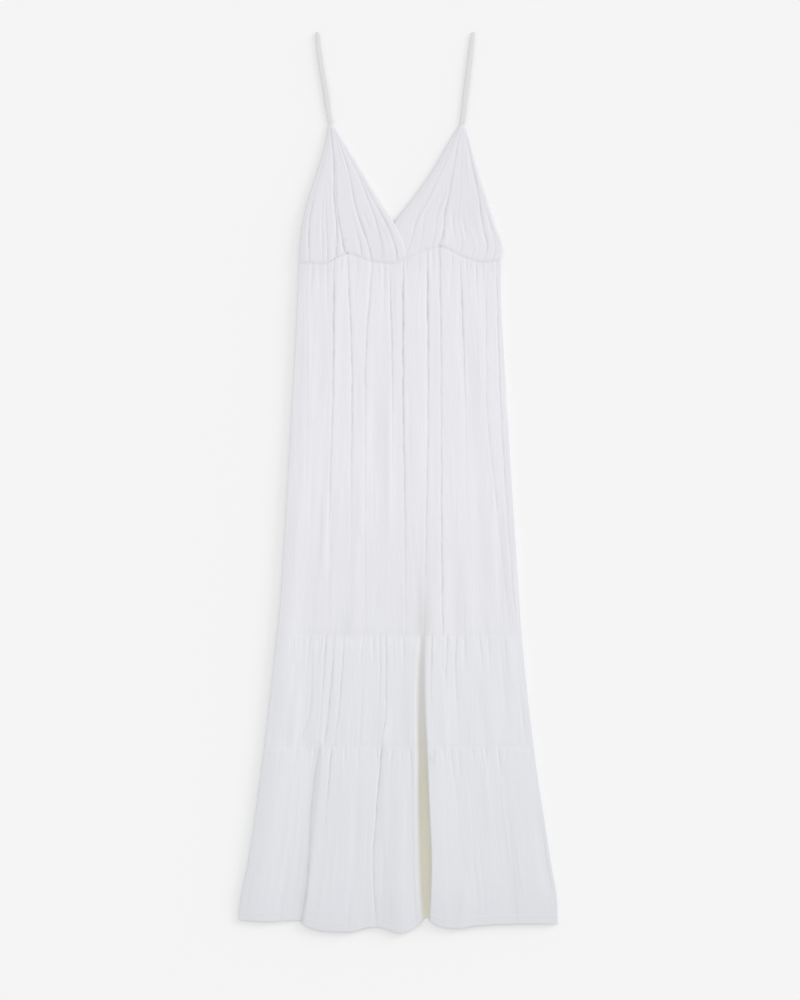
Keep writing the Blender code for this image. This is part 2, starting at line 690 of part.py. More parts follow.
def strap_path(line, band_x):
    """(x, y, z, turn) down the middle of a strap's cloth, from its cup over the fold to the back band.

    Turn is the angle of the cloth's upper face about the strap's width: 0 on top, half a turn underneath.
    """
    up = sorted((y, x) for x, y in line)
    front_z = STRAP_THICK * 1.5 + LAYER_GAP
    back_z = STRAP_THICK * 0.5
    radius = (front_z - back_z) / 2
    turn_y = STRAP_FOLD_Y - radius - STRAP_THICK / 2
    path = []
    for k in range(STRAP_STEPS + 1):
        y = mixed(up[0][0], turn_y, k / STRAP_STEPS)
        path.append((through(up, y), y, front_z, 0.0))
    for k in range(1, STRAP_TURN_STEPS):
        angle = math.pi * k / STRAP_TURN_STEPS
        y = turn_y + radius * math.sin(angle)
        path.append((through(up, y), y, back_z + radius * (1 + math.cos(angle)), angle))
    down = [(BAND_TOP_Y + SEAM_GAP, band_x)] + up
    for k in range(STRAP_STEPS + 1):
        y = mixed(turn_y, down[0][0], k / STRAP_STEPS)
        path.append((through(down, y), y, back_z, math.pi))
    return path


def strap(name, line, band_x):
    """A strap as a flat bar of cloth, swept along its path."""
    points, faces = [], []
    path = strap_path(line, band_x)
    for x, y, z, turn in path:
        half = through(STRAP_WIDTHS, (y - CUP_POINT_Y) / (STRAP_FOLD_Y - CUP_POINT_Y)) / 2
        out_y, out_z = math.sin(turn) * STRAP_THICK / 2, math.cos(turn) * STRAP_THICK / 2
        for side, face in ((-1, 1), (1, 1), (1, -1), (-1, -1)):
            points.append((x + side * half, y + face * out_y, z + face * out_z))
    for k in range(len(path) - 1):
        for s in range(4):
            a, b = 4 * k + s, 4 * k + (s + 1) % 4
            faces += [(a, b, b + 4), (a, b + 4, a + 4)]
    last = 4 * (len(path) - 1)
    faces += [(0, 3, 2), (0, 2, 1), (last, last + 1, last + 2), (last, last + 2, last + 3)]
    return add_object(name, points, faces)


def strap_left():
    return strap("strap_left", LEFT_STRAP_LINE, LEFT_STRAP_ON_BAND_X)


def strap_right():
    return strap("strap_right", RIGHT_STRAP_LINE, RIGHT_STRAP_ON_BAND_X)


def main():
    for old in list(bpy.data.objects):
        bpy.data.objects.remove(old, do_unlink=True)
    dress = bpy.data.objects.new("dress", None)
    bpy.context.scene.collection.objects.link(dress)
    for make in (
        strap_left, strap_right, cup_left, cup_right, back_band,
        tier_1_front, tier_1_back, tier_2_front, tier_2_back, tier_3_front, tier_3_back,
    ):
        make().parent = dress


main()
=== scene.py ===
"""A white crinkled-gauze maxi dress, laid flat: thin straps, crossed gathered cups, a skirt in three tiers.

Metres, +Z up. +Y runs from the hem to the straps, and +X is to the right of someone who looks down on the
front. Each piece of cloth is one fine sheet that lies on the solid of the same name.
"""

import math

import bpy
import numpy as np
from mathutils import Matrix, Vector


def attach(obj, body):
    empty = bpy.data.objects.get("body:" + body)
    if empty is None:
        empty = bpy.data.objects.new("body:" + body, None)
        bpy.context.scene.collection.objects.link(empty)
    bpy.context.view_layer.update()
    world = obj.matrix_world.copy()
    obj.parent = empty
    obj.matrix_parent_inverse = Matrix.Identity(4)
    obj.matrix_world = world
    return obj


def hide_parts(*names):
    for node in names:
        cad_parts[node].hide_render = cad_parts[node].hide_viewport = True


# Levels of the cloth above the surface that the dress lies on.
EDGE_Z = 0.0009
VALLEY_Z = 0.0024
REST_Z = 0.0038

# Levels down the dress.
STRAP_FOLD_Y = 0.7200
CUP_POINT_Y = 0.5728
BAND_TOP_Y = 0.3850
BACK_WAIST_Y = 0.3500
TIER_2_Y = -0.2450
TIER_3_Y = -0.4220
BACK_HEM_Y = -0.6970

# Seams: how far the sewing draws them down, the groove along the stitches, the reach of both, and the places
# at which the heights along them are worked out.
SEAM_DIP = 0.0001
SEAM_GROOVE = 0.00006
SEAM_GROOVE_WIDTH = 0.0020
SEAM_REACH = 0.0100
WAIST_DIP = 0.0004
WAIST_REACH = 0.0060
SEAM_X = np.linspace(-0.30, 0.30, 2400)

# Painted shade at the waist: its strength and its reach, for the seam and for the gathers below it. Along the
# seam it comes and goes, as a mean and a sway of it.
WAIST_SHADE = (0.10, 0.0042)
WAIST_SHADE_SHARES = (0.60, 0.85)
WAIST_UNEVEN_PITCH = 0.065
WAIST_UNEVEN_START = 1.3
GATHERED_SHADE = (0.07, 0.0300)

# Hem: its depth, the step at its upper edge, the lip that it is folded round, the strip inside, and how far
# the cloth has fallen at its edge.
HEM_DEPTH = 0.0125
HEM_STEP = 0.0002
HEM_STEP_WIDTH = 0.0012
HEM_LIP = 0.0006
HEM_ANGLES = (55.0, 10.0, -40.0)
HEM_ADDED_ROWS = len(HEM_ANGLES) + 1
HEM_STRIP_ROWS = 7
HEM_LOWEST_Z = 0.0004
HEM_FALL_SHARE = 0.55
HEM_REACH = 0.0700

# Stitches. The rings of one are given by how far along it, how thick and how high above the cloth they are.
STITCH_LENGTH = 0.0026
STITCH_PITCH = 0.0034
STITCH_LEAD = 0.3 * STITCH_PITCH
STITCH_RINGS = ((0.0, 0.3, -0.4), (0.25, 1.0, 0.6), (0.75, 1.0, 0.6), (1.0, 0.3, -0.4))
STITCH_SIDES = 5
STITCH_FLATNESS = 1.25
STITCH_STEP = 0.0008
THREAD = 0.00020

# Where they run: along the hem, down the sides of the cups, and across the end of each strap. Two numbers are
# the shares of the way across, from and to.
HEM_STITCHES = (0.01, 0.99)
CUP_HEM = 0.0045
CUP_HEM_MOST = 0.25
CUP_HEM_FREE_ROWS = 6
TACK_ROW = 3
TACK_STITCHES = (0.15, 0.85)

# Small puckers in the cups where their gathers are caught by stitches: x, y, reach, depth. Each also gets
# painted shade of this strength.
DIMPLE_SHADE = 0.45
DIMPLES = (
    (-0.0819, 0.3650, 0.0022, 0.0012),
    (-0.0845, 0.3870, 0.0015, 0.0008),
    (0.0669, 0.3770, 0.0022, 0.0012),
    (0.0717, 0.4000, 0.0016, 0.0009),
)

# How finely the sheets are divided, and how much closer their columns are beside a crease.
COLUMN_STEP = 0.00115
FEWEST_COLUMNS = 4
COLUMN_CLOSENESS = 0.55
ROW_STEP = 0.0031
FINE_ROW_STEP = 0.0009
FINE_ROWS_FROM_EDGE = 0.0150
FEWEST_ROWS = 2

# Side edges: the radius of the fold there, the angles at which its columns lie, the step down to the last of
# them, and how far the cloth falls towards each side, over what reach.
FOLD_RADIUS = 0.0008
FOLD_ANGLES = (65.0, 35.0, 5.0, -30.0)
FOLD_COLUMNS = len(FOLD_ANGLES) + 1
FOLD_LAST_STEP = 0.0001
LEFT_FALL = 0.0030
LEFT_REACH = 0.0340
RIGHT_FALL = 0.0004
RIGHT_REACH = 0.0400

# Outline of the skirt, seen from above: y, left side, right side.
LEFT_COLUMN = 1
RIGHT_COLUMN = 2
SKIRT_OUTLINE = (
    (0.350, -0.1580, 0.1645),
    (0.290, -0.1605, 0.1652),
    (0.197, -0.1650, 0.1703),
    (0.005, -0.1758, 0.1818),
    (-0.187, -0.1875, 0.1941),
    (-0.245, -0.1934, 0.1981),
    (-0.422, -0.2131, 0.2168),
    (-0.619, -0.2390, 0.2448),
    (-0.690, -0.2525, 0.2550),
    (-0.720, -0.2555, 0.2555),
)

# The seam under the cups, and the lower edge of the front: x, y.
WAIST_SEAM = (
    (-0.170, 0.3500),
    (-0.121, 0.3480),
    (-0.083, 0.3640),
    (-0.040, 0.3510),
    (-0.016, 0.3480),
    (0.022, 0.3600),
    (0.068, 0.3750),
    (0.100, 0.3600),
    (0.137, 0.3500),
    (0.175, 0.3545),
)
FRONT_HEM = (
    (-0.256, -0.7000),
    (-0.207, -0.7020),
    (-0.158, -0.7000),
    (-0.149, -0.7085),
    (-0.119, -0.7170),
    (-0.080, -0.7185),
    (-0.045, -0.7110),
    (-0.034, -0.7105),
    (0.004, -0.7200),
    (0.025, -0.7130),
    (0.039, -0.7000),
    (0.046, -0.6950),
    (0.054, -0.7030),
    (0.072, -0.7110),
    (0.096, -0.7130),
    (0.121, -0.7090),
    (0.180, -0.7060),
    (0.256, -0.7055),
)

# Main creases, left to right: their x at four levels down the piece, how far they are open at five, and how
# far to the left and right of them the cloth is full again.
CREASE_LEVELS = (0.0, 1 / 3, 2 / 3, 1.0)
OPEN_LEVELS = (0.0, 0.12, 0.38, 0.70, 1.0)
TIER_1_CREASES = (
    ((-0.1475, -0.1450, -0.1490, -0.1560), (0.02, 0.04, 0.08, 0.02, 0.00), 0.008, 0.006),
    ((-0.1027, -0.1043, -0.1101, -0.1107), (0.08, 0.36, 0.22, 0.10, 0.03), 0.010, 0.005),
    ((-0.0811, -0.0739, -0.0755, -0.0755), (0.14, 0.26, 0.24, 0.06, 0.00), 0.007, 0.005),
    ((-0.0426, -0.0531, -0.0531, -0.0523), (0.06, 0.22, 0.14, 0.08, 0.05), 0.007, 0.006),
    ((-0.0139, -0.0094, -0.0107, -0.0115), (0.05, 0.26, 0.12, 0.02, 0.00), 0.006, 0.004),
    ((0.0077, 0.0075, 0.0105, 0.0117), (0.14, 0.38, 0.30, 0.16, 0.05), 0.010, 0.005),
    ((0.0461, 0.0477, 0.0453, 0.0413), (0.10, 0.44, 0.18, 0.16, 0.05), 0.008, 0.006),
    ((0.0661, 0.0685, 0.0688, 0.0710), (0.24, 0.24, 0.14, 0.21, 0.16), 0.009, 0.005),
    ((0.0989, 0.1061, 0.1101, 0.1149), (0.05, 0.32, 0.10, 0.00, 0.00), 0.009, 0.005),
    ((0.1400, 0.1405, 0.1580, 0.1790), (0.02, 0.12, 0.12, 0.08, 0.04), 0.010, 0.012),
    ((0.1565, 0.1620, 0.1735, 0.1890), (0.14, 0.16, 0.16, 0.12, 0.06), 0.003, 0.003),
)
TIER_2_CREASES = (
    ((-0.1390, -0.1379, -0.1405, -0.1600), (0.03, 0.06, 0.10, 0.12, 0.05), 0.006, 0.008),
    ((-0.1150, -0.1190, -0.1230, -0.1280), (0.26, 0.22, 0.16, 0.06, 0.04), 0.004, 0.004),
    ((-0.1020, -0.1060, -0.1110, -0.1180), (0.10, 0.12, 0.22, 0.20, 0.10), 0.006, 0.004),
    ((-0.0862, -0.0900, -0.0950, -0.1015), (0.14, 0.15, 0.18, 0.12, 0.08), 0.005, 0.004),
    ((-0.0290, -0.0292, -0.0310, -0.0320), (0.14, 0.14, 0.12, 0.02, 0.00), 0.004, 0.003),
    ((-0.0195, -0.0195, -0.0200, -0.0275), (0.18, 0.18, 0.14, 0.16, 0.06), 0.007, 0.004),
    ((0.0541, 0.0525, 0.0520, 0.0520), (0.20, 0.20, 0.10, 0.02, 0.00), 0.004, 0.003),
    ((0.0780, 0.0765, 0.0760, 0.0760), (0.20, 0.16, 0.10, 0.00, 0.00), 0.005, 0.004),
    ((0.0928, 0.0912, 0.0950, 0.0960), (0.16, 0.14, 0.10, 0.04, 0.00), 0.004, 0.004),
)
TIER_3_CREASES = (
    ((-0.1255, -0.1385, -0.1430, -0.1540), (0.16, 0.26, 0.26, 0.36, 0.60), 0.005, 0.004),
    ((-0.1060, -0.1150, -0.1220, -0.1280), (0.14, 0.20, 0.06, 0.00, 0.00), 0.004, 0.004),
    ((-0.0262, -0.0345, -0.0405, -0.0350), (0.28, 0.32, 0.24, 0.18, 0.20), 0.004, 0.012),
    ((0.0830, 0.0935, 0.0960, 0.0970), (0.12, 0.08, 0.00, 0.00, 0.00), 0.004, 0.004),
    ((0.1700, 0.1760, 0.1830, 0.1900), (0.00, 0.02, 0.03, 0.05, 0.10), 0.010, 0.010),
)
OPEN_UNEVEN = 0.45
CREASE_RELIEF = 0.55

# Short gathers below the seams, by their places along them.
TIER_1_GATHERS = (
    -0.1380, -0.1267, -0.1138, -0.0915, -0.0707, -0.0659, -0.0323, -0.0227, 0.0125, 0.0349, 0.0541, 0.0605,
    0.0861, 0.1085, 0.1149, 0.1245, 0.1325, 0.1437,
)
TIER_2_GATHERS = (
    -0.1660, -0.1420, -0.1267, -0.1219, -0.0730, -0.0560, -0.0403, -0.0083, 0.0077, 0.0253, 0.0350,
    0.0637, 0.1060, 0.1293, 0.1437, 0.1690,
)
TIER_3_GATHERS = (
    -0.1620, -0.1341, -0.1165, -0.0851, -0.0639, -0.0339, -0.0083, 0.0061, 0.0189, 0.0525, 0.0573, 0.0700,
    0.0941, 0.1181, 0.1389, 0.1597,
)

# The deep recess that runs down the two lower tiers: the x of its left and its right edge and how far it is
# open, each at the same four levels, then the width of its slope on the left and of its wall on the right.
TIER_2_RECESS = (
    (0.0345, 0.0310, 0.0300, 0.0315), (0.0425, 0.0415, 0.0425, 0.0450), (0.30, 0.52, 0.62, 0.86),
    0.0120, 0.0050,
)
TIER_3_RECESS = (
    (0.0315, 0.0318, 0.0328, 0.0380), (0.0452, 0.0490, 0.0528, 0.0502), (0.86, 1.00, 1.00, 1.00),
    0.0130, 0.0034,
)

# The painted shade on the recess's left side: how much wider than the slope itself, and how far to the left
# of it.
RECESS_SHADE = (1.6, 0.0022)

# Soft hollows of the skirt: x, y, reach across and down, strength of the painted shade in each, real depth.
TIER_1_HOLLOWS = (
    (0.0375, -0.2450, 0.0105, 0.0750, 0.30, 0.0006),
    (-0.0850, -0.2450, 0.0120, 0.0400, 0.10, 0.0003),
)
TIER_3_HOLLOWS = (
    (0.0515, -0.4430, 0.0055, 0.0120, 0.24, 0.0002),
)

# Height of the cloth above its rest at places across the tier: x at the top, x at the low edge, and the
# height at its upper seam, a little below it and at its lower edge.
UPPER_SHARE = 0.15
TIER_1_SWELLS = (
    (-0.155, -0.188, 0.0046, 0.0054, 0.0056),
    (-0.120, -0.150, 0.0038, 0.0042, 0.0038),
    (-0.090, -0.095, 0.0040, 0.0046, 0.0036),
    (-0.030, -0.030, 0.0038, 0.0043, 0.0036),
    (0.028, 0.028, 0.0042, 0.0048, 0.0045),
    (0.058, 0.056, 0.0040, 0.0045, 0.0050),
    (0.090, 0.095, 0.0040, 0.0045, 0.0045),
    (0.130, 0.140, 0.0038, 0.0041, 0.0040),
    (0.160, 0.190, 0.0037, 0.0040, 0.0040),
)
TIER_2_SWELLS = (
    (-0.188, -0.208, 0.0056, 0.0056, 0.0054),
    (-0.150, -0.150, 0.0030, 0.0032, 0.0028),
    (-0.110, -0.114, 0.0031, 0.0040, 0.0042),
    (-0.060, -0.065, 0.0033, 0.0042, 0.0048),
    (0.000, 0.000, 0.0036, 0.0046, 0.0054),
    (0.028, 0.025, 0.0046, 0.0055, 0.0062),
    (0.055, 0.060, 0.0054, 0.0058, 0.0060),
    (0.095, 0.100, 0.0046, 0.0048, 0.0050),
    (0.150, 0.160, 0.0040, 0.0041, 0.0042),
    (0.192, 0.210, 0.0039, 0.0040, 0.0041),
)
TIER_3_SWELLS = (
    (-0.208, -0.250, 0.0054, 0.0054, 0.0048),
    (-0.129, -0.160, 0.0026, 0.0026, 0.0020),
    (-0.119, -0.148, 0.0044, 0.0050, 0.0050),
    (-0.065, -0.090, 0.0048, 0.0056, 0.0050),
    (-0.030, -0.042, 0.0050, 0.0054, 0.0046),
    (-0.020, -0.032, 0.0054, 0.0056, 0.0044),
    (0.010, 0.005, 0.0058, 0.0068, 0.0062),
    (0.028, 0.034, 0.0062, 0.0070, 0.0060),
    (0.055, 0.062, 0.0062, 0.0066, 0.0054),
    (0.100, 0.110, 0.0052, 0.0050, 0.0044),
    (0.160, 0.180, 0.0044, 0.0043, 0.0037),
    (0.210, 0.250, 0.0042, 0.0041, 0.0035),
)

# Cups: their sides as y, left and right, and their creases like those of the tiers, but placed as shares of
# the way across.
LEFT_CUP_EDGES = (
    (0.5728, -0.1108, -0.1038),
    (0.5330, -0.1179, -0.0802),
    (0.4980, -0.1280, -0.0585),
    (0.4530, -0.1427, -0.0320),
    (0.4130, -0.1523, -0.0060),
    (0.3780, -0.1565, 0.0092),
    (0.3480, -0.1580, 0.0140),
)
RIGHT_CUP_EDGES = (
    (0.5728, 0.0998, 0.1068),
    (0.5330, 0.0762, 0.1176),
    (0.4980, 0.0562, 0.1276),
    (0.4530, 0.0248, 0.1421),
    (0.4130, -0.0055, 0.1545),
    (0.3720, -0.0185, 0.1677),
    (0.3540, -0.0230, 0.1640),
)
CUP_LEVELS = (0.0, 0.35, 0.70, 1.0)
CUP_OPEN_LEVELS = (0.0, 0.20, 0.45, 0.70, 0.92)
LEFT_CUP_CREASES = (
    ((0.060, 0.060, 0.066, 0.088), (0.00, 0.02, 0.04, 0.18, 0.18), 0.004, 0.003),
    ((0.210, 0.210, 0.210, 0.215), (0.00, 0.00, 0.03, 0.08, 0.08), 0.004, 0.004),
    ((0.260, 0.260, 0.262, 0.260), (0.00, 0.00, 0.00, 0.07, 0.14), 0.003, 0.003),
    ((0.300, 0.365, 0.368, 0.342), (0.30, 0.30, 0.26, 0.22, 0.20), 0.007, 0.005),
    ((0.440, 0.410, 0.395, 0.425), (0.00, 0.03, 0.08, 0.16, 0.26), 0.004, 0.003),
    ((0.760, 0.700, 0.640, 0.680), (0.10, 0.12, 0.14, 0.20, 0.18), 0.009, 0.005),
    ((0.890, 0.890, 0.830, 0.760), (0.00, 0.05, 0.12, 0.13, 0.06), 0.006, 0.005),
    ((0.940, 0.930, 0.925, 0.920), (0.00, 0.00, 0.05, 0.15, 0.16), 0.006, 0.004),
    ((0.560, 0.560, 0.570, 0.590), (0.00, 0.00, 0.00, 0.03, 0.14), 0.003, 0.003),
)
RIGHT_CUP_CREASES = (
    ((0.170, 0.188, 0.218, 0.180), (0.05, 0.08, 0.14, 0.10, 0.08), 0.009, 0.005),
    ((0.290, 0.290, 0.295, 0.300), (0.00, 0.00, 0.00, 0.05, 0.08), 0.004, 0.004),
    ((0.360, 0.380, 0.420, 0.405), (0.00, 0.00, 0.03, 0.08, 0.08), 0.004, 0.004),
    ((0.400, 0.455, 0.502, 0.460), (0.22, 0.16, 0.20, 0.28, 0.20), 0.007, 0.005),
    ((0.620, 0.630, 0.640, 0.650), (0.00, 0.06, 0.04, 0.06, 0.08), 0.006, 0.005),
    ((0.740, 0.750, 0.750, 0.745), (0.00, 0.00, 0.00, 0.05, 0.08), 0.006, 0.005),
    ((0.900, 0.905, 0.885, 0.850), (0.08, 0.14, 0.24, 0.24, 0.12), 0.008, 0.005),
    ((0.950, 0.955, 0.950, 0.925), (0.00, 0.00, 0.00, 0.06, 0.10), 0.003, 0.003),
)

# Form of the cups: the swell's height at shares down, its share in the right cup down to where that is full
# too, the fall to the sides, and how small all this gets where a cup is narrow.
CUP_SWELL_DOWN = ((0.00, 0.0008), (0.15, 0.0018), (0.45, 0.0032), (0.80, 0.0037), (1.00, 0.0040))
RIGHT_CUP_SWELL = 0.60
RIGHT_CUP_FULL_FROM = 0.69
CUP_DROP = 0.2200
CUP_LEFT_FALL = 0.0014
CUP_LEFT_REACH = 0.0160
CUP_RIGHT_FALL = 0.0005
CUP_RIGHT_REACH = 0.0120
CUP_RELIEF = 0.90
CUP_FALL_MOST = 0.4
CUP_NARROW = 0.05
CUP_NARROWEST = 0.25
CUP_THINNEST = 0.0004
CUP_POINT_Z = 0.0030
CUP_POINT_REACH = 0.0090

# Where the cups cross: how far each gives way, over what reach of the other's edge and of the seam below.
UNDER_A_CUP = (0.0034, 0.0050, 0.0060)
OVER_A_CUP = (0.0008, 0.0200, 0.0200)
OVER_A_CUP_BELOW_Y = 0.4600
OVER_A_CUP_FADE = 0.0300

# Straps: their lines from the cup to the fold as x and y, the x at which their back runs meet the band, their
# seeds, and the width of the flat tube at shares of the way up. Roundness is a power for the tube's sides and
# one for its faces. A pucker is its size and its turn from ring to ring.
LEFT_STRAP_LINE = (
    (-0.1073, 0.5734), (-0.1100, 0.5880), (-0.1166, 0.6320), (-0.1251, 0.6830), (-0.1290, 0.7200),
)
RIGHT_STRAP_LINE = (
    (0.1033, 0.5734), (0.1050, 0.5880), (0.1101, 0.6320), (0.1162, 0.6830), (0.1206, 0.7200),
)
STRAP_UNDER_CUP = 0.0030
STRAP_UNDER_BAND = 0.0040
STRAPS = {"strap_left": (LEFT_STRAP_LINE, -0.0940, 61), "strap_right": (RIGHT_STRAP_LINE, 0.0920, 67)}
STRAP_WIDTHS = ((0.0, 0.0074), (0.3, 0.0086), (0.7, 0.0080), (1.0, 0.0058))
STRAP_THICK = 0.0012
STRAP_ROUNDNESS = (0.60, 0.75)
STRAP_DENT = 0.20
STRAP_PUCKERS = ((0.05, 0.90), (0.04, 0.37))
STRAP_PUCKER_START = (0.0, 6.28)
STRAP_SIDE_PUCKER = 0.02
STRAP_AROUND = 20
STRAP_FRONT_RINGS = 90
STRAP_FOLD_RINGS = 12
STRAP_BACK_RINGS = 120
STRAP_GAP = 0.0003

# The backs: their rest and their highest level, the reach of their side edges, and how many crinkles each has
# for one crease.
BACK_REST_Z = 0.000225
BACK_HIGHEST_Z = 0.0018
BACK_EDGE_REACH = 0.0040
BACK_CRINKLES_PER_CREASE = 3

# Each back: its upper and its lower edge, how far inside the front's sides it ends, how much faster than they
# it widens, how many creases it has and how long they are, and its seed.
BACKS = {
    "back_band": (BAND_TOP_Y, BACK_WAIST_Y, 0.0032, 1.0, 60, (0.05, 0.09), 51),
    "tier_1_back": (BACK_WAIST_Y, TIER_2_Y, 0.0009, 1.0, 60, (0.03, 0.16), 53),
    "tier_2_back": (TIER_2_Y, TIER_3_Y, 0.0009, 1.0, 64, (0.02, 0.10), 57),
    "tier_3_back": (TIER_3_Y, BACK_HEM_Y, 0.0009, 1.065, 66, (0.02, 0.10), 59),
}

# Form of a crease: its groove's reach on both sides, how much of its depth is in the broad dip round it, and
# how far its line sways.
GROOVE_LEFT = 0.0018
GROOVE_RIGHT = 0.0013
DIP_SHARE = 0.40
LINE_SWAY = 0.0006

# Uneven waves along creases and seams: size, quickness and lateness of the three sines that make them up,
# their pitch, and how far one crease's wave starts from the next one's.
RIPPLE_WAVES = ((0.5, 1.0, 1.0), (0.3, 2.3, 2.7), (0.2, 5.1, 4.1))
SWAY_PITCH = 0.080
SWAY_START = 90.0
OPEN_PITCH = 0.050
OPEN_START = 170.0

# Fine wrinkles of the cloth: the ranges that their depth, width and length are drawn from.
PLACED_GATHERS = ((0.0003, 0.0008), (0.0010, 0.0024), (0.020, 0.090))
MORE_GATHERS = ((0.0000, 0.0004), (0.0010, 0.0024), (0.012, 0.080))
CRINKLES = ((-0.00024, 0.00030), (0.0014, 0.0040), (0.030, 0.190))
CRINKLES_PER_BILLOW = 3
BILLOWS = ((-0.0009, 0.0009), (0.0050, 0.0130), (0.100, 0.420))
CUP_CRINKLE_COUNT = 26
CUP_CRINKLES = ((-0.0005, 0.0005), (0.0012, 0.0030), (0.030, 0.100))
BACK_CREASES = ((0.0003, 0.0011), (0.0012, 0.0028))
BACK_CRINKLES = ((-0.0002, 0.0004), (0.0015, 0.0040), (0.030, 0.160))

# How they lean and lie: their place within an even share, the spread of their lean, where crinkles start as
# a share down the piece, how gathers set out from a seam, and where along itself a crinkle comes and goes.
WRINKLE_PLACE = (0.1, 0.9)
WRINKLE_LEAN = 0.006
CRINKLE_START = (-0.1, 1.0)
GATHERS_AT_SEAM = 0.4
GATHERS_FULL_AT = 0.009
CRINKLE_COMES_BY = 0.35
CRINKLE_GOES_FROM = 0.60

# Finish. Of each gauze, by what its pieces' names begin with: its white (for cups and straps a darker white
# that paints shade), the power of the warm tint of the painted shade in its folds, the spacing of its
# threads, the width of its crinkles, and the strength of its bump.
CLOTH_WHITE = (0.814, 0.809, 0.843)
# Painted shade towards the hem: darker and a little bluer.
HEM_SHADE_COLOUR = (0.728, 0.744, 0.777)
# Painted shade deep in folds: darker and warmer.
DEEP_FOLD_SHADE_COLOUR = (0.700, 0.672, 0.560)
# Cups and straps: the same gauze, made darker than the cloth's white as painted shade.
CUP_SHADED_WHITE = (0.786, 0.784, 0.818)
STRAP_SHADED_WHITE = (0.736, 0.736, 0.750)
# How dark the painted shade in folds gets, and the power of its warm tint.
SHADE_IN_FOLDS = 0.35
FOLD_SHADE_TINT_POWER = 2.5
THREAD_WHITE = (0.790, 0.790, 0.810)
GAUZE_FINISHES = {
    "tier_1": (CLOTH_WHITE, 1.6, 0.0010, 0.0034, 0.42),
    "tier_2": (CLOTH_WHITE, 1.7, 0.0010, 0.0034, 0.37),
    "tier_3": (CLOTH_WHITE, 2.2, 0.0010, 0.0034, 0.35),
    "back": (CLOTH_WHITE, FOLD_SHADE_TINT_POWER, 0.0010, 0.0034, 0.42),
    "cup": (CUP_SHADED_WHITE, FOLD_SHADE_TINT_POWER, 0.0010, 0.0034, 0.42),
    "strap": (STRAP_SHADED_WHITE, FOLD_SHADE_TINT_POWER, 0.0008, 0.0022, 0.35),
}
# Where the painted shade towards the hem starts, and where it is full.
HEM_SHADE_FROM_Y = 0.00
HEM_SHADE_FULL_AT_Y = -0.66

# Weave: what its crinkles, threads and slubs add to its height, how much smaller the first and the last are
# across than along, the depth of its bump, and the roughness that its slubs give it.
CRINKLE_SHARE = 0.60
THREAD_SHARE = 0.025
SLUB_SHARE = 0.08
CRINKLE_DRAWN_OUT = 0.10
SLUB_DRAWN_OUT = 0.04
WEAVE_DEPTH = 0.0012
SLUB_RANGE = (0.30, 0.70)
GAUZE_ROUGHNESS = (0.86, 0.97)
THREAD_BUMP = (0.3, 0.0001)

# Floor.
FLOOR_GREY = (0.912, 0.912, 0.914)
FLOOR_SIZE = 12.0
FLOOR_Z = -0.0002

# Light: even from all round, with a soft low key from the upper right.
AMBIENT = 0.914
KEY_STRENGTH = 1.52
KEY_SOFTNESS = 21.0
KEY_AZIMUTH = 35.0
KEY_ELEVATION = 10.4
KEY_WHITE = (1.0, 0.995, 0.985)

# The photograph looks straight down, 1.6 mm of the dress to each of its pixels.
METRES_PER_PIXEL = 0.0016
PHOTO_HEIGHT = 1000
VIEW_CENTRE = (0.0029, -0.0288)
CAMERA_HEIGHT = 5.0


def eased(share):
    """A share from 0 to 1, with a gentle start and end."""
    share = np.clip(share, 0.0, 1.0)
    return share * share * (3.0 - 2.0 * share)


def mixed(first, second, share):
    """Between two values, by a share of the way from the first to the second."""
    return first + (second - first) * share


def through(points, places):
    """Values at places on a smooth curve through (place, value) points, with no overshoot."""
    at, value = np.array(sorted(points), float).T
    span = np.diff(at)
    step = np.diff(value) / span
    slope = np.zeros_like(value)
    slope[0], slope[-1] = step[0], step[-1]
    before, after = step[:-1], step[1:]
    same_way = before * after > 0
    slope[1:-1][same_way] = (2 * before * after / np.where(same_way, before + after, 1.0))[same_way]
    places = np.clip(places, at[0], at[-1])
    k = np.clip(np.searchsorted(at, places, side="right") - 1, 0, len(span) - 1)
    t = (places - at[k]) / span[k]
    return (
        value[k] * (2 * t**3 - 3 * t**2 + 1)
        + slope[k] * span[k] * (t**3 - 2 * t**2 + t)
        + value[k + 1] * (3 * t**2 - 2 * t**3)
        + slope[k + 1] * span[k] * (t**3 - t**2)
    )


def outline_side(rows, column):
    """A function that gives x at y along one side of an outline table."""
    points = [(row[0], row[column]) for row in rows]
    return lambda y: through(points, y)


skirt_left = outline_side(SKIRT_OUTLINE, LEFT_COLUMN)
skirt_right = outline_side(SKIRT_OUTLINE, RIGHT_COLUMN)


def waist_y(x):
    """The y of the seam under the cups."""
    return through(WAIST_SEAM, x)


def front_hem_y(x):
    """The y of the front's lower edge."""
    return through(FRONT_HEM, x)


def straight_seam(y):
    """A function that gives the y of a straight seam at any x."""
    return lambda x: y + 0 * x


def ripple(place, start, pitch):
    """An uneven wave along a length in metres, between -1 and 1."""
    turn = 2 * math.pi * place / pitch
    return sum(size * np.sin(quick * turn + late * start) for size, quick, late in RIPPLE_WAVES)


def at_levels(levels, values, down):
    """Values given at levels down a piece, at any share down it."""
    return through(tuple(zip(levels, values)), down)


def crease_line(places, levels, down, drop, sway):
    """Where a crease runs at a share down the piece: through its four places, and never quite straight."""
    return at_levels(levels, places, down) + sway * ripple(down * drop, SWAY_START * places[0], SWAY_PITCH)


def crease_opening(places, openings, levels, down, drop):
    """How far a crease is open at a share down the piece."""
    uneven = 1.0 + OPEN_UNEVEN * ripple(down * drop, OPEN_START * places[1], OPEN_PITCH)
    return np.clip(at_levels(levels, openings, down) * uneven, 0.0, 1.0)


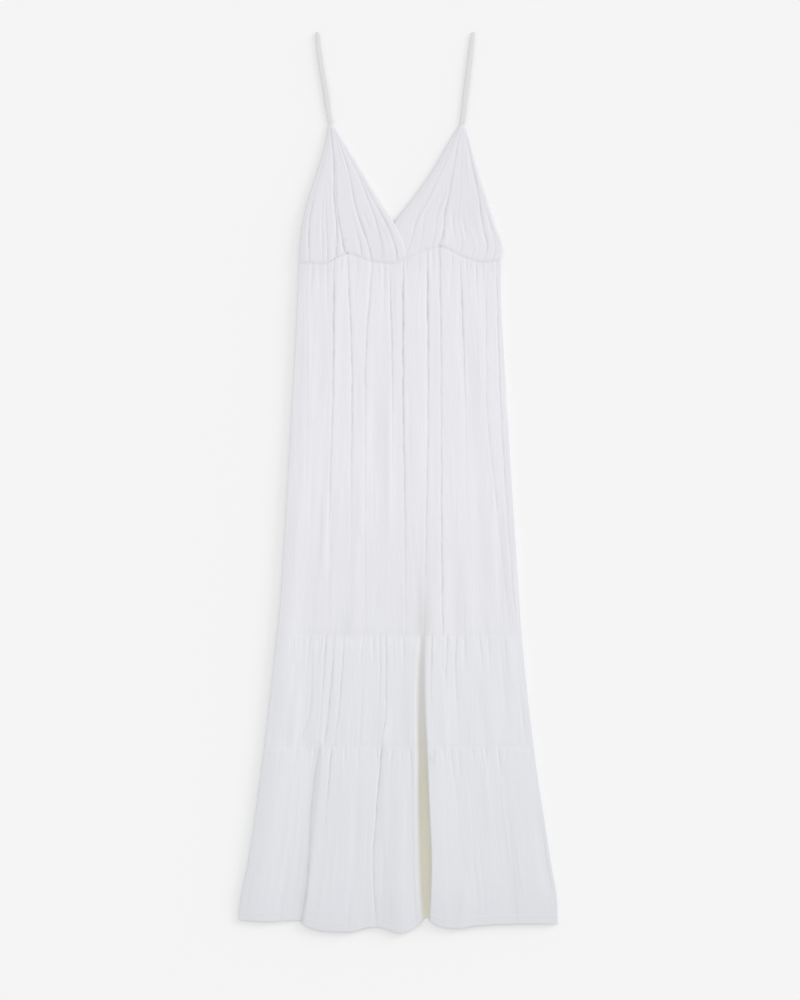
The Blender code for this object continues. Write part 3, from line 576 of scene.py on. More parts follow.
def crease_form(distance, left, right):
    """1 in a crease's line, and 0 where the cloth to its left or right is full again.

    A narrow groove lies in a broad shallow dip.
    """
    share = np.clip(1.0 - np.where(distance < 0, -distance / left, distance / right), 0.0, 1.0)
    groove = np.exp(-((distance / np.where(distance < 0, GROOVE_LEFT, GROOVE_RIGHT)) ** 2))
    return mixed(groove, share * share, DIP_SHARE)


def fallen(distance, fall, reach):
    """How far the cloth has fallen at a distance from a side. It has fallen in full at the side itself."""
    return fall * (1.0 - np.clip(distance / reach, 0.0, 1.0)) ** 2


def with_side_folds(grid):
    """Columns at both sides of a sheet that roll its cloth down and back in, to the edge's height."""
    sides = []
    for edge, way in ((grid[:, :1], -1.0), (grid[:, -1:], 1.0)):
        columns = []
        for angle in np.radians(FOLD_ANGLES):
            column = edge.copy()
            column[..., 0] += way * FOLD_RADIUS * math.cos(angle)
            column[..., 2] -= FOLD_RADIUS * (1.0 - math.sin(angle))
            columns.append(column)
        lowest = edge.copy()
        lowest[..., 2] = np.minimum(EDGE_Z, columns[-1][..., 2] - FOLD_LAST_STEP)
        columns.append(lowest)
        sides.append(columns)
    left, right = sides
    return np.concatenate([*left[::-1], grid, *right], axis=1)


def beside(values):
    """Values of a sheet's points, carried on over the columns of its side folds."""
    left, right = (side.repeat(FOLD_COLUMNS, 1) for side in (values[:, :1], values[:, -1:]))
    return np.concatenate([left, values, right], axis=1)


def wrinkles(seed, across, sizes, from_seam):
    """Fine wrinkles that run down a piece, from places across it given as shares or as how many there are.

    Returns a function of the share across, the metres down, the piece's drop and its breadth.
    """
    depths, widths, lengths = sizes
    draw = np.random.default_rng(seed)
    if isinstance(across, int):
        across = (np.arange(across) + draw.uniform(*WRINKLE_PLACE, across)) / across
        across = across if from_seam else draw.permutation(across)
    count = len(across)
    lean = draw.normal(0.0, WRINKLE_LEAN, count)
    start = np.zeros(count) if from_seam else draw.uniform(*CRINKLE_START, count)
    length = draw.uniform(*lengths, count)
    depth = draw.uniform(*depths, count)
    width = draw.uniform(*widths, count)

    def height(share, down, drop, breadth):
        total = np.zeros(np.broadcast(share, down).shape)
        begun = mixed(GATHERS_AT_SEAM, 1.0, eased(down / GATHERS_FULL_AT)) if from_seam else 1.0
        for k in range(count):
            along = (down - start[k] * drop) / length[k]
            if from_seam:
                fade = 1.0 - eased(along)
            else:
                gone = eased((along - CRINKLE_GOES_FROM) / (1.0 - CRINKLE_GOES_FROM))
                fade = eased(along / CRINKLE_COMES_BY) * (1.0 - gone)
            place = across[k] + lean[k] * along
            total -= depth[k] * fade * np.exp(-(((share - place) * breadth / width[k]) ** 2))
        return total * begun

    return height


class Tier:
    """One front tier of the skirt: where its cloth is at an x and a share down."""

    def __init__(
        self, top_edge, low_edge, seam_reach, creases, swells, placed,
        more_gathers, crinkles, seed, recess=None, hollows=(),
    ):
        self.top_edge, self.low_edge, self.seam_reach = top_edge, low_edge, seam_reach
        self.top_y, self.low_y = float(top_edge(0.0)), float(low_edge(0.0))
        self.drop = self.top_y - self.low_y
        self.creases, self.swells, self.recess, self.hollows = creases, swells, recess, hollows
        left, right = self.sides(0.0)
        placed = (np.array(placed) - left) / (right - left)
        self.wrinkles = (
            wrinkles(seed, placed, PLACED_GATHERS, True),
            wrinkles(seed + 1, more_gathers, MORE_GATHERS, True),
            wrinkles(seed + 2, crinkles, CRINKLES, False),
            wrinkles(seed + 3, crinkles // CRINKLES_PER_BILLOW, BILLOWS, False),
        )

    def sides(self, down):
        """The x of the cloth's two sides, inside their folds."""
        y = mixed(self.top_y, self.low_y, down)
        return skirt_left(y) + FOLD_RADIUS, skirt_right(y) - FOLD_RADIUS

    def crease_places(self, down):
        """The x of each main crease."""
        return [crease_line(row[0], CREASE_LEVELS, down, self.drop, LINE_SWAY) for row in self.creases]

    def recess_sides(self, down):
        """The x of the recess's left and right edge."""
        return [at_levels(CREASE_LEVELS, places, down) for places in self.recess[:2]]

    def lines(self, down):
        """The x of every line that the columns of the sheet follow, left to right."""
        left, right = self.sides(down)
        places = self.crease_places(down) + (self.recess_sides(down) if self.recess else [])
        places = sorted(places, key=lambda place: float(np.mean(place)))
        return [left, *places, right]

    def crest(self, x, down):
        """Height of the swell, smooth across the tier and down it."""
        knots = [mixed(x_top, x_low, down) for x_top, x_low, *_ in self.swells]
        levels = [at_levels((0.0, UPPER_SHARE, 1.0), heights, down) for _, _, *heights in self.swells]
        height = np.zeros(np.broadcast(x, down).shape) + levels[0]
        for a, b, low, high in zip(knots, knots[1:], levels, levels[1:]):
            height = height + (high - low) * eased((x - a) / (b - a))
        return height

    def openness(self, x, down, relief, spread=1.0, earlier=0.0):
        """1 where the cloth is full, and 0 in a recess or in a crease that is fully open, at full relief.

        For the painted shade, the recess's left side may be wider than its slope and start earlier.
        """
        full = np.ones(np.broadcast(x, down).shape)
        for (places, openings, left, right), line in zip(self.creases, self.crease_places(down)):
            opened = relief * crease_opening(places, openings, OPEN_LEVELS, down, self.drop)
            full = full * (1.0 - opened * crease_form(x - line, left, right))
        if self.recess:
            left, right = self.recess_sides(down)
            *_, openings, slope, wall = self.recess
            opened = at_levels(CREASE_LEVELS, openings, down)
            from_left = eased((x - left + earlier) / (spread * slope) + 0.5)
            full = full * (1.0 - opened * from_left * eased((right - x) / wall + 0.5))
        return full

    def height(self, x, down):
        """Height of the cloth, with all its folds and wrinkles, apart from what its seams do."""
        left, right = self.sides(down)
        breadth = right - left
        share = (x - left) / breadth
        full = REST_Z - VALLEY_Z + self.crest(x, down)
        for wrinkle in self.wrinkles:
            full = full + wrinkle(share, down * self.drop, self.drop, breadth)
        z = VALLEY_Z + np.maximum(full, 0.0) * self.openness(x, down, CREASE_RELIEF)
        return z - fallen(x - left, LEFT_FALL, LEFT_REACH) - fallen(right - x, RIGHT_FALL, RIGHT_REACH)


def sheet_columns(lines):
    """Columns of a sheet from its lines: evenly many between neighbours, and closer beside each of them."""
    columns = [lines[0]]
    for a, b in zip(lines, lines[1:]):
        count = max(FEWEST_COLUMNS, round(float(np.mean(b - a)) / COLUMN_STEP))
        even = np.arange(1, count + 1) / count
        shares = mixed(even, 0.5 - 0.5 * np.cos(math.pi * even), COLUMN_CLOSENESS)
        columns += [mixed(a, b, share) for share in shares]
    return np.array(columns).T


def sheet_rows(drop):
    """Shares down a piece: close together near its two edges and wider apart between them."""
    fine = np.arange(0.0, FINE_ROWS_FROM_EDGE, FINE_ROW_STEP)
    count = max(FEWEST_ROWS, round((drop - 2 * FINE_ROWS_FROM_EDGE) / ROW_STEP))
    middle = np.linspace(FINE_ROWS_FROM_EDGE, drop - FINE_ROWS_FROM_EDGE, count)
    return np.concatenate([fine, middle, drop - fine[::-1]]) / drop


def along_seam(z):
    """A function that gives the height along a seam, from its heights at SEAM_X."""
    z = np.maximum(z, EDGE_Z)
    return lambda x: np.interp(x, SEAM_X, z)


def seam_height(above, below):
    """Height along the seam between two tiers: half way between them and drawn down by the sewing."""
    both = above.height(SEAM_X, np.array(1.0)) + below.height(SEAM_X, np.array(0.0))
    return along_seam(both / 2 - SEAM_DIP)


def joined(z, seam_z, distance, reach):
    """Heights beside a seam: they meet the seam's height, and dip into a fine groove along the stitches."""
    z = mixed(seam_z, z, eased(distance / reach))
    return z - SEAM_GROOVE * np.exp(-((distance / SEAM_GROOVE_WIDTH) ** 2))


def seam_shade(x, distance):
    """Painted shade beside the waist seam: not the same all along it."""
    depth, reach = WAIST_SHADE
    mean, sway = WAIST_SHADE_SHARES
    share = np.maximum(mean + sway * ripple(x, WAIST_UNEVEN_START, WAIST_UNEVEN_PITCH), 0.0)
    return depth * share * np.exp(-((distance / reach) ** 2))


def skirt_tier(name, tier, seam_above, seam_below):
    """The sheet of one front tier. The lowest one has no seam below, but a hem."""
    down = sheet_rows(tier.drop)[:, None]
    x = sheet_columns([line[:, 0] for line in tier.lines(down)])
    y = mixed(tier.top_edge(x), tier.low_edge(x), down)
    under_top, over_low = tier.top_edge(x) - y, y - tier.low_edge(x)
    # Painted shade: in creases and the recess, beside the waist seam and in the gathers below it, and in
    # hollows.
    deep = 1.0 - tier.openness(x, down, 1.0, *RECESS_SHADE)
    z = joined(tier.height(x, down), seam_above(x), under_top, tier.seam_reach)
    if tier.top_edge is waist_y:
        depth, reach = GATHERED_SHADE
        deep = np.maximum(deep, seam_shade(x, under_top) + depth * np.exp(-((under_top / reach) ** 2)))
    if seam_below is not None:
        z = joined(z, seam_below(x), over_low, SEAM_REACH)
    else:
        z = mixed(z, EDGE_Z, fallen(over_low, HEM_FALL_SHARE, HEM_REACH))
        z = z + HEM_STEP * (1.0 - eased((over_low - HEM_DEPTH) / HEM_STEP_WIDTH))
    for at_x, at_y, across, length, shade, depth in tier.hollows:
        spot = np.exp(-(((x - at_x) / across) ** 2) - ((y - at_y) / length) ** 2)
        z = z - depth * spot * eased(under_top / SEAM_REACH) * eased(over_low / SEAM_REACH)
        deep = np.maximum(deep, shade * spot)
    grid, deep = with_side_folds(np.stack([x, y, z], axis=-1)), beside(deep)
    if seam_below is None:
        grid, deep = turned_hem(grid, deep)
    return cloth_sheet(name, grid, deep)


def turned_hem(grid, deep):
    """The lower edge folded under: a round lip, and a strip that runs back up inside."""
    turned = [grid]
    for angle in np.radians(HEM_ANGLES):
        row = grid[-1:].copy()
        row[..., 1] -= HEM_LIP * math.cos(angle)
        row[..., 2] -= HEM_LIP * (1.0 - math.sin(angle))
        turned.append(row)
    inside = grid[-HEM_STRIP_ROWS - 1 : -HEM_STRIP_ROWS].copy()
    inside[..., 2] -= 2 * HEM_LIP
    turned.append(inside)
    for row in turned[1:]:
        row[..., 2] = np.maximum(row[..., 2], HEM_LOWEST_Z)
    return np.concatenate(turned), np.concatenate([deep] + HEM_ADDED_ROWS * [deep[-1:]])


def cloth_sheet(name, grid, deep=None):
    """A mesh from a grid of points, with its painted shade (in folds, at seams, in hollows) as an attribute.
    """
    rows, columns = grid.shape[:2]
    index = np.arange(rows * columns).reshape(rows, columns)
    faces = np.stack([index[:-1, :-1], index[1:, :-1], index[1:, 1:], index[:-1, 1:]], axis=-1)
    made = add_mesh(name, grid.reshape(-1, 3), faces.reshape(-1, 4))
    depth = made.data.attributes.new("painted_shade_mask", "FLOAT", "POINT")
    values = np.zeros(rows * columns) if deep is None else deep.reshape(-1)
    depth.data.foreach_set("value", values.astype(np.float32))
    made["grid_rows"] = rows
    return made


def add_mesh(name, points, faces):
    """A smooth object from points and faces."""
    mesh = bpy.data.meshes.new(name)
    mesh.from_pydata([tuple(p) for p in np.asarray(points).tolist()], [], [tuple(face) for face in faces])
    mesh.update()
    mesh.shade_smooth()
    made = bpy.data.objects.new(name, mesh)
    bpy.context.scene.collection.objects.link(made)
    return made


class Cup:
    """One cup: a gathered triangle from its strap to the waist seam."""

    def __init__(self, edges, creases, swell, lift, seed):
        self.left, self.right = outline_side(edges, LEFT_COLUMN), outline_side(edges, RIGHT_COLUMN)
        self.low_left, self.low_right = edges[-1][LEFT_COLUMN], edges[-1][RIGHT_COLUMN]
        self.breadth = self.low_right - self.low_left
        self.creases, self.swell, self.lift = creases, swell, lift
        self.crinkles = wrinkles(seed, CUP_CRINKLE_COUNT, CUP_CRINKLES, False)

    def crease_places(self, down):
        """Each crease's share of the way across."""
        sway = LINE_SWAY / self.breadth
        return [crease_line(row[0], CUP_LEVELS, down, CUP_DROP, sway) for row in self.creases]

    def columns(self, down):
        """Shares across of the sheet's columns, which follow the creases."""
        places = sorted(self.crease_places(down), key=lambda place: float(np.mean(place)))
        lines = [np.zeros_like(down), *places, np.ones_like(down)]
        return sheet_columns([line[:, 0] * self.breadth for line in lines]) / self.breadth

    def places(self, share, down):
        """The x and y of the cloth at shares across and down, and how wide the cup is there."""
        left_y = mixed(CUP_POINT_Y, waist_y(self.low_left), down)
        right_y = mixed(CUP_POINT_Y, waist_y(self.low_right), down)
        left_x, right_x = self.left(left_y) + FOLD_RADIUS, self.right(right_y) - FOLD_RADIUS
        low_x = mixed(self.low_left + FOLD_RADIUS, self.low_right - FOLD_RADIUS, share)
        straight_y = mixed(waist_y(self.low_left), waist_y(self.low_right), share)
        y = mixed(left_y, right_y, share) + (waist_y(low_x) - straight_y) * down**2
        return mixed(left_x, right_x, share), y, right_x - left_x

    def openness(self, share, down, span, relief):
        """1 where the cloth is full, and 0 in a crease that is fully open, at full relief."""
        full = np.ones(share.shape)
        narrow = np.clip(span / CUP_NARROW, CUP_NARROWEST, 1.0)
        for (places, openings, left, right), line in zip(self.creases, self.crease_places(down)):
            opened = relief * crease_opening(places, openings, CUP_OPEN_LEVELS, down, CUP_DROP)
            full = full * (1.0 - opened * crease_form((share - line) * span, left * narrow, right * narrow))
        return full

    def height(self, share, down, span):
        """Height of the cloth, with all its folds, apart from what its ends and the other cup do."""
        swell = mixed(self.swell, 1.0, eased((down - RIGHT_CUP_FULL_FROM) / (1.0 - RIGHT_CUP_FULL_FROM)))
        full = REST_Z - VALLEY_Z + through(CUP_SWELL_DOWN, down) * swell
        full = full + self.crinkles(share, down * CUP_DROP, CUP_DROP, self.breadth)
        z = VALLEY_Z + np.maximum(full, CUP_THINNEST) * self.openness(share, down, span, CUP_RELIEF)
        most = CUP_FALL_MOST * span
        z = z - fallen(share * span, CUP_LEFT_FALL, np.minimum(CUP_LEFT_REACH, most))
        return z - fallen((1.0 - share) * span, CUP_RIGHT_FALL, np.minimum(CUP_RIGHT_REACH, most))

    def grid(self, seam):
        """Points of the cup's sheet, down to the height of its seam, and the painted shade of each in its
        folds.
        """
        down = sheet_rows(CUP_DROP)[:, None]
        share = self.columns(down)
        x, y, span = self.places(share, down)
        from_seam = y - waist_y(x)
        z = self.height(share, down, span)
        z = mixed(np.minimum(z, CUP_POINT_Z), z, eased(down * CUP_DROP / CUP_POINT_REACH))
        z = joined(z, seam(x), from_seam, WAIST_REACH) + self.lift(x, y)
        # Painted shade in the cup's creases, beside the waist seam and in its puckers.
        deep = np.maximum(1.0 - self.openness(share, down, span, 1.0), seam_shade(x, from_seam))
        for at_x, at_y, reach, depth in DIMPLES:
            spot = np.exp(-((x - at_x) ** 2 + (y - at_y) ** 2) / reach**2)
            z = z - depth * spot
            deep = np.maximum(deep, DIMPLE_SHADE * spot)
        return with_side_folds(np.stack([x, y, z], axis=-1)), beside(deep)


def over_the_right_cup(x, y):
    """How far the left cup is raised, where it crosses the right one. The seam below holds it down."""
    height, edge_reach, seam_reach = OVER_A_CUP
    from_edge = outline_side(RIGHT_CUP_EDGES, LEFT_COLUMN)(y) - x
    raised = height * eased(1.0 - from_edge / edge_reach) * eased((y - waist_y(x)) / seam_reach)
    return raised * eased((OVER_A_CUP_BELOW_Y - y) / OVER_A_CUP_FADE)


def under_the_left_cup(x, y):
    """How far the right cup is pressed down, where the left one covers it. Written as a negative lift."""
    depth, edge_reach, seam_reach = UNDER_A_CUP
    from_edge = outline_side(LEFT_CUP_EDGES, RIGHT_COLUMN)(y) - x
    return -depth * eased((from_edge - FOLD_RADIUS) / edge_reach) * eased((y - waist_y(x)) / seam_reach)


def back_sheet(name, top_y, low_y, inset, stretch, creases, crease_length, seed):
    """A back piece, level where it rests, with fine creases pressed up from its upper seam.

    A stretch above 1 widens it faster, as the sides of the front do above a hem that is longer in its middle.
    """
    drop = top_y - low_y
    down = sheet_rows(drop)[:, None]
    y = mixed(top_y, low_y, down)
    side_y = top_y - stretch * (top_y - y)
    left, right = skirt_left(side_y) + inset, skirt_right(side_y) - inset
    x = sheet_columns([left[:, 0], right[:, 0]])
    pressed = np.zeros(x.shape)
    for wrinkle in (
        wrinkles(seed, creases, (*BACK_CREASES, crease_length), True),
        wrinkles(seed + 1, BACK_CRINKLES_PER_CREASE * creases, BACK_CRINKLES, False),
    ):
        pressed -= wrinkle((x - left) / (right - left), down * drop, drop, float(np.mean(right - left)))
    z = np.clip(BACK_REST_Z + pressed, 0.0, BACK_HIGHEST_Z)
    z = mixed(EDGE_Z, z, eased(np.minimum(x - left, right - x) / BACK_EDGE_REACH))
    return cloth_sheet(name, np.stack([x, y + 0 * x, z], axis=-1))


def strap_path(line, band_x):
    """Points along the middle of a strap, and how far it has turned at each: from its cup over the fold and
    back to the band.
    """
    up = sorted((y, x) for x, y in line)
    back_z = STRAP_THICK / 2
    front_z = back_z + STRAP_THICK + STRAP_GAP
    radius = (front_z - back_z) / 2
    turn_y = STRAP_FOLD_Y - radius - STRAP_THICK / 2
    front_y = np.linspace(up[0][0] - STRAP_UNDER_CUP, turn_y, STRAP_FRONT_RINGS)
    front = [(through(up, y), y, front_z, 0.0) for y in front_y]
    fold = []
    for angle in np.linspace(0, math.pi, STRAP_FOLD_RINGS + 2)[1:-1]:
        y = turn_y + radius * math.sin(angle)
        fold.append((through(up, y), y, back_z + radius * (1 + math.cos(angle)), angle))
    down = [(BAND_TOP_Y, band_x)] + up
    back_y = np.linspace(turn_y, BAND_TOP_Y - STRAP_UNDER_BAND, STRAP_BACK_RINGS)
    return front + fold + [(through(down, y), y, back_z, math.pi) for y in back_y]


def powered(value, power):
    """A value's size to a power, with its own sign."""
    return math.copysign(abs(value) ** power, value)


def tube_faces(first, rings, around):
    """Faces of a tube from its rings of points, which follow one another from the first point on."""
    faces = []
    for ring in range(rings - 1):
        for k in range(around):
            a, b = first + around * ring + k, first + around * ring + (k + 1) % around
            faces.append((a, b, b + around, a + around))
    return faces


def strap(name, line, band_x, seed):
    """A soft flat tube of cloth, with a dent along its middle and small puckers, swept along its path."""
    path = strap_path(line, band_x)
    angles = np.linspace(0, 2 * math.pi, STRAP_AROUND, endpoint=False)
    side_power, face_power = STRAP_ROUNDNESS
    late = np.random.default_rng(seed).uniform(*STRAP_PUCKER_START, len(STRAP_PUCKERS))
    points = []
    for k, (x, y, z, turn) in enumerate(path):
        up_share = (y - CUP_POINT_Y) / (STRAP_FOLD_Y - CUP_POINT_Y)
        half = float(through(STRAP_WIDTHS, up_share)) / 2
        puckers = (size * math.sin(quick * k + start) for (size, quick), start in zip(STRAP_PUCKERS, late))
        pucker = sum(puckers, start=1.0)
        for angle in angles:
            side = powered(math.cos(angle), side_power)
            lip = powered(math.sin(angle), face_power)
            out = lip * STRAP_THICK / 2 * (1.0 - STRAP_DENT + STRAP_DENT * side**2) * pucker
            across = side * half * (1.0 - STRAP_SIDE_PUCKER + STRAP_SIDE_PUCKER * pucker)
            points.append((x + across, y + out * math.sin(turn), z + out * math.cos(turn)))
    faces = tube_faces(0, len(path), STRAP_AROUND)
    faces.append(tuple(range(STRAP_AROUND))[::-1])
    faces.append(tuple(range(len(points) - STRAP_AROUND, len(points))))
    made = add_mesh(name, points, faces)
    made.data.attributes.new("painted_shade_mask", "FLOAT", "POINT")
    return made


def sheet_points(piece):
    """The grid of points of a sheet, row by row."""
    return np.array([v.co[:] for v in piece.data.vertices]).reshape(piece["grid_rows"], -1, 3)


def along_row(piece, row, start, end):
    """Points of one row of a sheet, between two shares of the way across it."""
    points = sheet_points(piece)[row]
    count = len(points)
    return points[int(start * count) : int(end * count)]


def along_side(piece, way, inset):
    """Points down a sheet, at an inset from its left side (way 1) or its right side (way -1)."""
    path = []
    for row in sheet_points(piece)[CUP_HEM_FREE_ROWS:-CUP_HEM_FREE_ROWS]:
        x, y, z = row[FOLD_COLUMNS:-FOLD_COLUMNS].T
        inside = min(inset, CUP_HEM_MOST * (x[-1] - x[0]))
        at_x = x[0] + inside if way > 0 else x[-1] - inside
        path.append([at_x, np.interp(at_x, x, y), np.interp(at_x, x, z)])
    return path


def stitches(name, path):
    """A row of short thread stitches along a path that lies on the cloth."""
    path = np.asarray(path)
    length = np.concatenate([[0], np.cumsum(np.linalg.norm(np.diff(path, axis=0), axis=1))])

    def at(distance):
        return Vector([np.interp(distance, length, values) for values in path.T])

    points, faces = [], []
    up = Vector((0, 0, 1))
    for start in np.arange(STITCH_LEAD, length[-1] - STITCH_LENGTH, STITCH_PITCH):
        faces += tube_faces(len(points), len(STITCH_RINGS), STITCH_SIDES)
        for share, size, rise in STITCH_RINGS:
            middle = start + share * STITCH_LENGTH
            side = (at(middle + STITCH_STEP) - at(middle - STITCH_STEP)).cross(up).normalized()
            for k in range(STITCH_SIDES):
                turn = 2 * math.pi * k / STITCH_SIDES
                off = side * math.cos(turn) * STITCH_FLATNESS + up * math.sin(turn)
                points.append(at(middle) + (up * rise + off * size) * THREAD)
    return add_mesh(name, points, faces)


# Shader groups. Each is built once and placed in the materials with their own values.
def new_group(name, inputs, outputs):
    """An empty group with named inputs, their values, and named outputs."""
    group = bpy.data.node_groups.new(name, "ShaderNodeTree")
    for label, kind, value in inputs:
        socket = group.interface.new_socket(label, in_out="INPUT", socket_type=kind)
        socket.default_value = value
    for label, kind in outputs:
        group.interface.new_socket(label, in_out="OUTPUT", socket_type=kind)
    return group


def node(tree, kind, **values):
    """A new node with its own settings."""
    made = tree.nodes.new(kind)
    for key, value in values.items():
        setattr(made, key, value)
    return made


def fill(made, values):
    """Set or link a node's inputs, by their names or numbers. Each value is a socket or a plain value."""
    for label, value in values.items():
        if isinstance(value, bpy.types.NodeSocket):
            made.id_data.links.new(value, made.inputs[label])
        else:
            made.inputs[label].default_value = value


def maths(tree, operation, first, second):
    """The result of a Math node. Each value is a socket or a number."""
    made = node(tree, "ShaderNodeMath", operation=operation)
    fill(made, {0: first, 1: second})
    return made.outputs[0]


def mapped(tree, value, low, high, to_low, to_high):
    """A value from one range, clamped and moved to another."""
    made = node(tree, "ShaderNodeMapRange", clamp=True)
    fill(made, {"Value": value, "From Min": low, "From Max": high, "To Min": to_low, "To Max": to_high})
    return made.outputs["Result"]


def colour_mix(tree, share, first, second):
    """A colour between two others."""
    made = node(tree, "ShaderNodeMix", data_type="RGBA")
    fill(made, {"Factor": share, "A": first, "B": second})
    return made.outputs["Result"]


def noise(tree, place, values):
    """The value of a noise texture at a place."""
    made = node(tree, "ShaderNodeTexNoise", noise_dimensions="3D")
    fill(made, {"Vector": place, **values})
    return made.outputs["Fac"]


def lengthened(tree, place, share):
    """A place with its Y made smaller, which draws textures out along the cloth."""
    made = node(tree, "ShaderNodeVectorMath", operation="MULTIPLY")
    fill(made, {0: place, 1: (1.0, share, 1.0)})
    return made.outputs[0]


def object_place(tree):
    """The place on the object, and its X and Y alone."""
    place = node(tree, "ShaderNodeTexCoord").outputs["Object"]
    split = node(tree, "ShaderNodeSeparateXYZ")
    fill(split, {0: place})
    return place, split.outputs["X"], split.outputs["Y"]


def gauze_weave_group():
    """Height of the gauze: single threads both ways, slubs, and the crinkle that the finishing leaves."""
    group = new_group(
        "Gauze weave",
        (
            ("Thread spacing", "NodeSocketFloat", 0.0009),
            ("Crinkle width", "NodeSocketFloat", 0.0030),
            ("Crinkle share", "NodeSocketFloat", CRINKLE_SHARE),
        ),
        (("Height", "NodeSocketFloat"), ("Slub", "NodeSocketFloat")),
    )
    ins, outs = node(group, "NodeGroupInput").outputs, node(group, "NodeGroupOutput")
    place, x, y = object_place(group)
    turns = maths(group, "DIVIDE", 2 * math.pi, ins["Thread spacing"])
    warp = maths(group, "SINE", maths(group, "MULTIPLY", x, turns), 0.0)
    weft = maths(group, "SINE", maths(group, "MULTIPLY", y, turns), 0.0)
    threads = maths(group, "MULTIPLY", maths(group, "ADD", warp, weft), THREAD_SHARE)
    crinkle_scale = maths(group, "DIVIDE", 1.0, ins["Crinkle width"])
    crinkle = noise(group, lengthened(group, place, CRINKLE_DRAWN_OUT), {
        "Scale": crinkle_scale, "Detail": 3.0, "Roughness": 0.55, "Distortion": 0.35,
    })
    slub = noise(group, lengthened(group, place, SLUB_DRAWN_OUT), {"Scale": 900.0, "Detail": 2.0})
    height = maths(group, "MULTIPLY", crinkle, ins["Crinkle share"])
    height = maths(group, "ADD", height, threads)
    height = maths(group, "ADD", height, maths(group, "MULTIPLY", slub, SLUB_SHARE))
    fill(outs, {"Height": height, "Slub": slub})
    return group


def cloth_white_and_shade_group():
    """Colour of the white cloth, a little uneven, with painted shade: warmer and darker deep in folds, and
    darker towards the hem.
    """
    group = new_group(
        "Cloth white and painted shade",
        (
            ("White", "NodeSocketColor", (*CLOTH_WHITE, 1)),
            ("Shade colour at the hem", "NodeSocketColor", (*HEM_SHADE_COLOUR, 1)),
            ("Shade colour in deep folds", "NodeSocketColor", (*DEEP_FOLD_SHADE_COLOUR, 1)),
            ("Unevenness", "NodeSocketFloat", 0.02),
            ("Shade in folds", "NodeSocketFloat", SHADE_IN_FOLDS),
            ("Shade tint power", "NodeSocketFloat", FOLD_SHADE_TINT_POWER),
        ),
        (("Color", "NodeSocketColor"),),
    )
    ins, outs = node(group, "NodeGroupInput").outputs, node(group, "NodeGroupOutput")
    place, _, y = object_place(group)
    # Painted shade: darker and a little bluer towards the hem.
    low = mapped(group, y, HEM_SHADE_FROM_Y, HEM_SHADE_FULL_AT_Y, 0.0, 1.0)
    patches = maths(group, "SUBTRACT", noise(group, place, {"Scale": 14.0, "Detail": 3.0}), 0.5)
    uneven = maths(group, "MULTIPLY", patches, ins["Unevenness"])
    # Painted shade in folds: a warm tint and a darkening, both by the painted-shade mask of each point.
    fold = node(group, "ShaderNodeAttribute", attribute_name="painted_shade_mask").outputs["Fac"]
    tinted = maths(group, "POWER", fold, ins["Shade tint power"])
    cloth = colour_mix(group, low, ins["White"], ins["Shade colour at the hem"])
    cloth = colour_mix(group, tinted, cloth, ins["Shade colour in deep folds"])
    most = maths(group, "MULTIPLY", fold, ins["Shade in folds"])
    shaded = maths(group, "MULTIPLY", most, maths(group, "SUBTRACT", 1.0, fold))
    value = maths(group, "ADD", maths(group, "SUBTRACT", 1.0, shaded), uneven)
    shade = node(group, "ShaderNodeHueSaturation")
    fill(shade, {"Color": cloth, "Value": value})
    fill(outs, {"Color": shade.outputs["Color"]})
    return group


def new_material(name):
    """A new material, its node tree and its shader."""
    made = bpy.data.materials.new(name)
    made.use_nodes = True
    return made, made.node_tree, made.node_tree.nodes["Principled BSDF"]


def bumped(tree, height, strength, distance):
    """A normal from a height."""
    made = node(tree, "ShaderNodeBump")
    fill(made, {"Strength": strength, "Distance": distance, "Height": height})
    return made.outputs["Normal"]


def gauze_material(name, weave, colour, white, shade_tint_power, spacing, crinkle_width, bump):
    """Matt white gauze: a soft sheen of loose fibres over a crinkled weave."""
    made, tree, shader = new_material(name)
    cloth = node(tree, "ShaderNodeGroup", node_tree=weave)
    fill(cloth, {"Thread spacing": spacing, "Crinkle width": crinkle_width})
    # Base colour: the cloth's white with painted shade in its folds and towards the hem.
    tint = node(tree, "ShaderNodeGroup", node_tree=colour)
    fill(tint, {"White": (*white, 1), "Shade tint power": shade_tint_power})
    fill(shader, {
        "Base Color": tint.outputs["Color"],
        "Roughness": mapped(tree, cloth.outputs["Slub"], *SLUB_RANGE, *GAUZE_ROUGHNESS),
        "Normal": bumped(tree, cloth.outputs["Height"], bump, WEAVE_DEPTH),
        "Sheen Weight": 0.12,
        "Sheen Roughness": 0.6,
        "Specular IOR Level": 0.15,
        "Metallic": 0.0,
    })
    return made


def thread_material(name):
    """Twisted white sewing thread, a little smoother than the cloth."""
    made, tree, shader = new_material(name)
    twist = node(tree, "ShaderNodeTexWave", wave_type="BANDS", bands_direction="DIAGONAL")
    fill(twist, {"Vector": node(tree, "ShaderNodeTexCoord").outputs["Object"], "Scale": 2200.0})
    fill(shader, {
        "Base Color": (*THREAD_WHITE, 1),
        "Roughness": 0.7,
        "Normal": bumped(tree, twist.outputs["Fac"], *THREAD_BUMP),
        "Metallic": 0.0,
    })
    return made


def grey_floor():
    """The plain floor that the dress lies on."""
    bpy.ops.mesh.primitive_plane_add(size=FLOOR_SIZE, location=(0, 0, FLOOR_Z))
    floor = bpy.context.object
    floor.name = "floor"
    made, _, shader = new_material("floor_grey")
    fill(shader, {"Base Color": (*FLOOR_GREY, 1), "Roughness": 1.0, "Specular IOR Level": 0.0})
    floor.data.materials.append(made)


